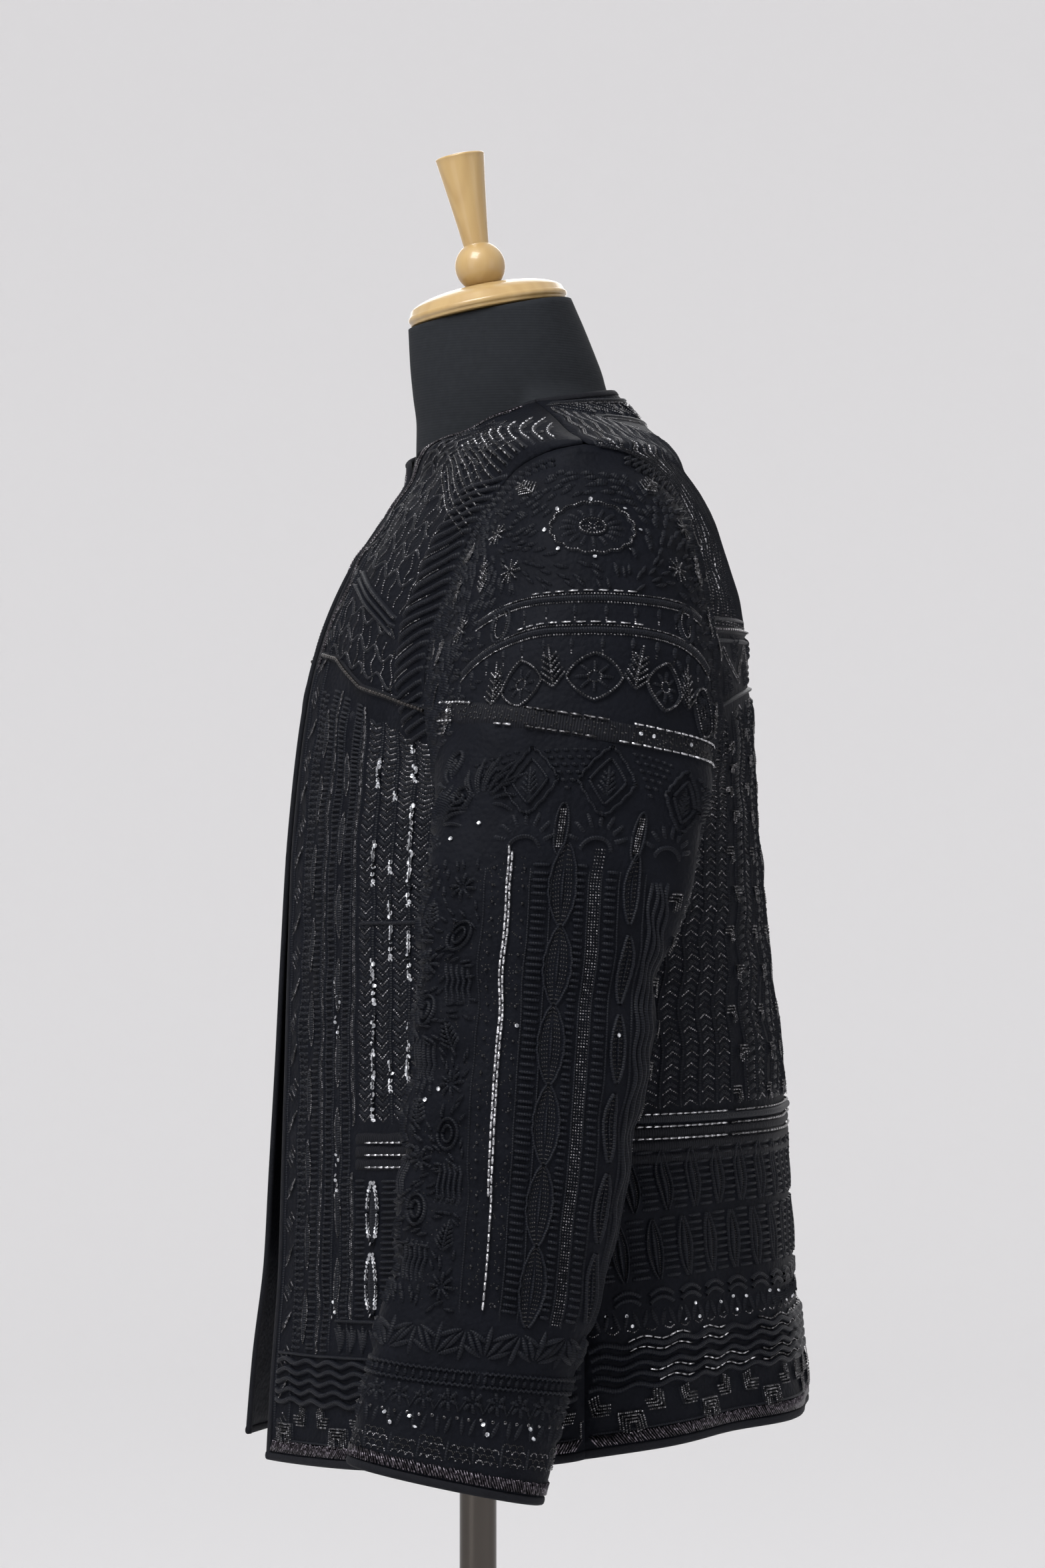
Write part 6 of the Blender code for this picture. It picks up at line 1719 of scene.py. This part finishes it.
flowing(sleeve, places, motifs, 0.0076, 0.0026, 45.0, 4)
for side in (-1, 1):
    d, v = strewn(chance, 170, 0.156, 0.210, 0.400, 0.600)
    flowing(sleeve, (side * d, v), (), 0.0084, 0.0032, 45.0, 4)


# The cuff has a border, sewn from its top to the binding: crossing leaves, a zigzag cord, upright bars,
# stars, drops and scallops of beads, with slanting bugles along the edge.
def cuff_level(turn):
    """How much higher the slanting cuff lies at a share of the way round it."""
    return -0.0029 * np.sin(2 * math.pi * turn)


ROUND = row_length(SLEEVE_CLOTH, 0.05)
turn = np.linspace(0, 1, 181, endpoint=False)
v = 0.0655 + cuff_level(turn)
for offset in (0.0, -0.0074):
    sew_line(sleeve, turn * ROUND, v + offset + 0.0007 * np.cos(np.arange(181) * math.pi), 0.0022, 0.0012)
for place in np.arange(0, 1, 1 / 61):
    pebbles(sleeve, place * ROUND, 0.0618 + cuff_level(place), 0.0056, 0.0026, math.pi / 2, 0.0013)
for k, place in enumerate(np.arange(0.0, 1, 1 / 20)):
    upside = (1, -1)[k % 2]
    v, d = 0.0815 - upside * 0.0085 + cuff_level(place), place * ROUND
    for lean, size in ((0.42, 0.0150), (0.98, 0.0150), (1.571, 0.0165), (2.16, 0.0150), (2.72, 0.0150)):
        away = 0.0025 + size / 2
        middle = d + away * math.cos(lean), v + upside * away * math.sin(lean)
        pebbles(sleeve, *middle, size, 0.0038, upside * lean, 0.0016)
drop = [(np.array([-0.0055, 0, 0.0055]), np.array([0.0065, -0.0040, 0.0065]))]
for k, place in enumerate(np.arange(0.0, 1, 1 / 20)):
    level, d = cuff_level(place), place * ROUND
    drawn(sleeve, (d, 0.0495 + level), 0.26, rays(6, 0.0010, 0.0068), 0, 0.0026, 0.0014)
    drawn(sleeve, (d + 0.0074, 0.0470 + level), 0.0, drop, 0, 0.0022, 0.0014)
    for shift in (-0.0032, 0.0032):
        pebbles(sleeve, d + shift, 0.0355 + level, 0.0100, 0.0028, 1.57 - shift * 60, 0.0012)
    sew_beads(sleeve, d + np.array([0, 0.0074]), 0.0395 + level, 0.0022, 0.0008)
    if k in (2, 3, 7, 8, 12, 17, 19):
        pair = d + np.array([0.001, 0.0054])
        sew_sequins(sleeve, pair, 0.0325 + level + np.array([0.0, 0.0050]), 0.0028, 300 + k)
half_turn = np.linspace(0, math.pi, 9)
for k, place in enumerate(np.arange(0.0, 1, 1 / 17)):
    level, d = cuff_level(place), place * ROUND
    for n in range(3 + k % 2):
        for side in (-1, 0, 1):
            bead_line(sleeve, d + 0.0046 * side + 0.0023 * (n % 2) + 0.0023 * np.cos(half_turn),
                      0.0158 + 0.0034 * n + level + 0.0022 * np.sin(half_turn), 0.0010, 0.0012, 0.0003,
                      "jet_beads" if n % 2 else "seed_beads")
    sew_line(sleeve, d + 0.0088 + np.zeros(4), 0.0150 + level + np.linspace(0, 0.012, 4), 0.0018, 0.0010)
trim(sleeve, 0.0, ROUND)
finish_work("sleeve", sleeve, ("left", "right"))


# The dress form is a padded torso with a neck and no limbs, moulded in one and covered with fine charcoal
# jersey that is stretched over it and glued. The jacket rests on its shoulders.
TORSO = table(
    "z half front_y back_y front_power back_power",
    (0.8600, 0.1720, -0.0850, 0.1430, 2.00, 2.20),
    (0.8660, 0.1760, -0.0890, 0.1470, 2.00, 2.20),
    (0.9300, 0.1740, -0.0870, 0.1450, 2.00, 2.20),
    (1.0000, 0.1600, -0.0790, 0.1260, 2.00, 2.20),
    (1.0600, 0.1520, -0.0790, 0.1170, 2.00, 2.20),
    (1.1400, 0.1620, -0.0900, 0.1310, 1.85, 2.15),
    (1.2200, 0.1710, -0.0985, 0.1450, 1.70, 2.10),
    (1.2800, 0.1740, -0.0900, 0.1490, 1.65, 2.05),
    (1.3200, 0.1760, -0.0750, 0.1440, 1.68, 1.98),
    (1.3480, 0.1775, -0.0585, 0.1350, 1.72, 1.98),
    (1.3620, 0.1778, -0.0490, 0.1285, 1.76, 1.98),
    (1.3809, 0.1750, -0.0380, 0.1150, 1.78, 1.98),
    (1.3870, 0.1715, -0.0360, 0.1135, 1.78, 1.98),
    (1.3917, 0.1605, -0.0315, 0.1120, 1.78, 1.98),
    (1.4034, 0.1245, -0.0130, 0.1050, 1.78, 1.98),
    (1.4142, 0.0905, 0.0060, 0.0965, 1.78, 1.98),
    (1.4214, 0.0640, 0.0145, 0.0900, 1.85, 2.00),
    (1.4300, 0.0540, 0.0140, 0.0810, 2.00, 2.00),
    (1.4376, 0.0460, 0.0140, 0.0720, 2.00, 2.00),
)
NECK = table(
    "z half front_y back_y tilt",
    (1.3700, 0.0515, -0.0360, 0.0850, 0.00),
    (1.3960, 0.0520, -0.0390, 0.0840, 0.00),
    (1.4150, 0.0525, -0.0388, 0.0830, 0.02),
    (1.4376, 0.0530, -0.0411, 0.0795, 0.06),
    (1.4600, 0.0520, -0.0430, 0.0702, 0.12),
    (1.4855, 0.0507, -0.0442, 0.0576, 0.188),
)
FORM_CENTRE_Y = 0.029
FORM_FILLET = 20        # the higher this power, the smaller the fillet between neck and shoulders


def form_ring(z, turn):
    """Point of the dress form: the neck's and the torso's outlines joined with a small fillet."""
    torso = {name: smooth(TORSO["z"], TORSO[name], z) for name in TORSO if name != "z"}
    neck = {name: smooth(NECK["z"], NECK[name], z) for name in NECK if name != "z"}
    c, s = np.cos(turn), np.sin(turn)

    def reach(outline, front_power, back_power):
        power = np.where(s < 0, front_power, back_power)
        depth = np.where(s < 0, FORM_CENTRE_Y - outline["front_y"], outline["back_y"] - FORM_CENTRE_Y)
        return (np.abs(c / outline["half"]) ** power + np.abs(s / depth) ** power) ** (-1 / power)

    neck_r = reach(neck, 2.0, 2.0)
    torso_r = reach(torso, torso["front_power"], torso["back_power"])
    if z > TORSO["z"][-1]:
        r = neck_r
    elif z < NECK["z"][0]:
        r = torso_r
    else:
        r = (neck_r**FORM_FILLET + torso_r**FORM_FILLET) ** (1 / FORM_FILLET)
    y = FORM_CENTRE_Y + r * s
    middle = (neck["front_y"] + neck["back_y"]) / 2
    tilt = neck["tilt"] if z > NECK["z"][1] else 0.0
    return np.stack([r * c, y, z + tilt * (y - middle)], -1)


def jersey():
    """Fine charcoal jersey stretched over the padding: tiny knit rows, dull, with a trace of lint."""
    cloth = new_finish("charcoal_jersey", Roughness=0.85, Specular_IOR_Level=0.10)
    place = add_node(cloth, "TexCoord").outputs["Object"]
    lint = add_node(cloth, "TexNoise", place, Scale=260, Detail=5).outputs["Fac"]
    two_tones(cloth, lint, (0.0112, 0.0126, 0.0148), (0.0178, 0.0198, 0.0230))
    knit = add_node(cloth, "TexWave", place, bands_direction="Z", Scale=190, Distortion=2.0, Detail_Scale=30)
    relief(cloth, knit.outputs["Fac"], 0.25, 0.0003)
    return cloth


def closed_rings(name, finish, rings, bottom, top):
    """A round solid from rings of points that rise, closed at its bottom and top points."""
    count, sides = rings.shape[:2]
    walls = grid_faces(count, sides, sides)
    j = np.arange(sides)
    k, last = (j + 1) % sides, (count - 1) * sides
    caps = np.concatenate([np.stack([k, j, np.full(sides, count * sides)], -1),
                           np.stack([j + last, k + last, np.full(sides, count * sides + 1)], -1)])
    return mesh_piece(name, finish, np.concatenate([rings.reshape(-1, 3), [bottom], [top]]), walls, caps)


turn = np.linspace(0, 2 * math.pi, 88, endpoint=False)
turn = np.arctan2(0.125 * np.sin(turn), 0.180 * np.cos(turn))
heights = [*np.linspace(0.8603, 0.866, 4), *np.linspace(0.872, 1.36, 34), *np.linspace(1.364, 1.4845, 40)]
rings = np.array([form_ring(z, turn) for z in heights])
middle = rings.mean(axis=1, keepdims=True)
rings[0] = middle[0] + (rings[0] - middle[0]) * 0.985
cover = closed_rings("form_torso_cover", jersey(), rings, rings[0].mean(0), rings[-1].mean(0))
stands_for(cover, "form_torso")


# The neck ends in a flat cap and a finial, both turned from pale wood on a lathe, sanded and lacquered. The
# cap lies on the leaning top of the neck, and the finial is dowelled into it.
def turned_wood():
    """Pale turned wood under clear lacquer: long soft grain, darker end grain, a glossy coat."""
    wood = new_finish("lacquered_pale_wood", Roughness=0.38, Coat_Weight=0.35, Coat_Roughness=0.12)
    place = add_node(wood, "TexCoord").outputs["Object"]
    along = add_node(wood, "Mapping", place, Scale=(1.0, 1.0, 0.16), Rotation=(0.12, 0.05, 0.5))
    stretch = along.outputs["Vector"]
    grain = add_node(wood, "TexWave", stretch, Scale=42, Distortion=5.5, Detail=3, Detail_Scale=1.6)
    cloud = add_node(wood, "TexNoise", stretch, Scale=90, Detail=5)
    bands = two_tones(wood, grain.outputs["Fac"], (0.37, 0.245, 0.094), (0.31, 0.192, 0.066))
    two_tones(wood, cloud.outputs["Fac"], bands, (0.40, 0.27, 0.112))
    return wood


def turned_piece(name, finish, profile, sides, node, lean=0.0, seat=(0, 0, 0)):
    """A turned piece: its profile of (radius, height) rises from the axis to the axis."""
    r, z = np.array(profile, float).T
    turn = np.linspace(0, 2 * math.pi, sides, endpoint=False)
    out, up = r[1:-1, None], np.repeat(z[1:-1, None], sides, 1)
    rings = np.stack([out * np.cos(turn), out * np.sin(turn), up], -1)
    piece = closed_rings(name, finish, rings, (0, 0, z[0]), (0, 0, z[-1]))
    piece.data.transform(Matrix.Translation(seat) @ Matrix.Rotation(lean, 4, "X"))
    stands_for(piece, node)


def arc(centre_r, centre_z, radius, start, end, count):
    """Points of an arc in a turned profile, its angles in degrees up from straight out."""
    return [(centre_r + radius * math.cos(math.radians(a)), centre_z + radius * math.sin(math.radians(a)))
            for a in np.linspace(start, end, count)]


wood = turned_wood()
lean = math.atan(0.188)
neck_top = (0, 0.0067, 1.4855)


def on_neck(height):
    """Place on the neck's leaning axis, a height above its top."""
    return (0, neck_top[1] - height * math.sin(lean), neck_top[2] + height * math.cos(lean))


rim = [(0, 0), (0.0490, 0.0), (0.0496, 0.0006)] + arc(0.0480, 0.0040, 0.0025, -60, 60, 9)
dome = [(0.0480 * s, 0.0065 + 0.0115 * math.sqrt(1 - (0.97 * s) ** 2.2)) for s in np.linspace(1, 0.02, 26)]
turned_piece("neck_cap_turned", wood, rim + dome + [(0, 0.0180)], 96,
             "neck_cap", lean, on_neck(0.0003))
ball_z = math.sqrt(0.0158**2 - 0.0105**2)
join = math.degrees(math.acos(0.0080 / 0.0158))
ball = arc(0, ball_z, 0.0158, -math.degrees(math.asin(ball_z / 0.0158)), join, 22)
post_z = ball[-1][1]
post = [(0.0080 + 0.0075 * s ** 1.08, post_z + 0.0570 * s) for s in np.linspace(0.012, 0.97, 20)]
top = arc(0.0143, post_z + 0.0558, 0.0012, 0, 80, 6) + [(0.0090, post_z + 0.0579), (0, post_z + 0.0582)]
turned_piece("finial_turned", wood, [(0, 0)] + ball + post + top, 72,
             "finial", lean, on_neck(0.0186))


# The form stands on a steel tube, drawn and polished, that goes up into the plate screwed under the torso and
# down into a round cast base. Plate and base are painted dark grey.
def drawn_steel():
    """Polished steel tube with the faint lines of drawing and a few smudges."""
    steel = new_finish("polished_steel_tube", Base_Color=(0.085, 0.076, 0.068, 1), Metallic=1.0)
    place = add_node(steel, "TexCoord").outputs["Object"]
    lines = add_node(steel, "Mapping", place, Scale=(1, 1, 0.02)).outputs["Vector"]
    smear = add_node(steel, "TexNoise", lines, Scale=210, Detail=4).outputs["Fac"]
    between = add_node(steel, "MapRange", To_Min=0.16, To_Max=0.34)
    wire(steel, smear, between.inputs["Value"])
    wire(steel, between.outputs["Result"], "Roughness")
    return steel


def stand_paint():
    """Dark grey satin paint over cast iron, a little orange-peeled."""
    paint = new_finish("satin_stand_paint", Roughness=0.42)
    place = add_node(paint, "TexCoord").outputs["Object"]
    peel = add_node(paint, "TexNoise", place, Scale=420).outputs["Fac"]
    two_tones(paint, peel, (0.040, 0.041, 0.045), (0.060, 0.061, 0.066))
    relief(paint, peel, 0.25, 0.0003)
    return paint


steel, iron = drawn_steel(), stand_paint()
tube = [(0, 0.0153), (0.0108, 0.0153), (0.0115, 0.0160)]
tube += [(0.0115, z) for z in np.linspace(0.05, 0.80, 12)]
tube += [(0.0115, 0.8430), (0.0108, 0.8441), (0, 0.8441)]
turned_piece("pole_tube", steel, tube, 64, "pole")
for node in ("stand_base", "form_plate"):
    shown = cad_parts[node]
    shown.data.materials.clear()
    shown.data.materials.append(iron)
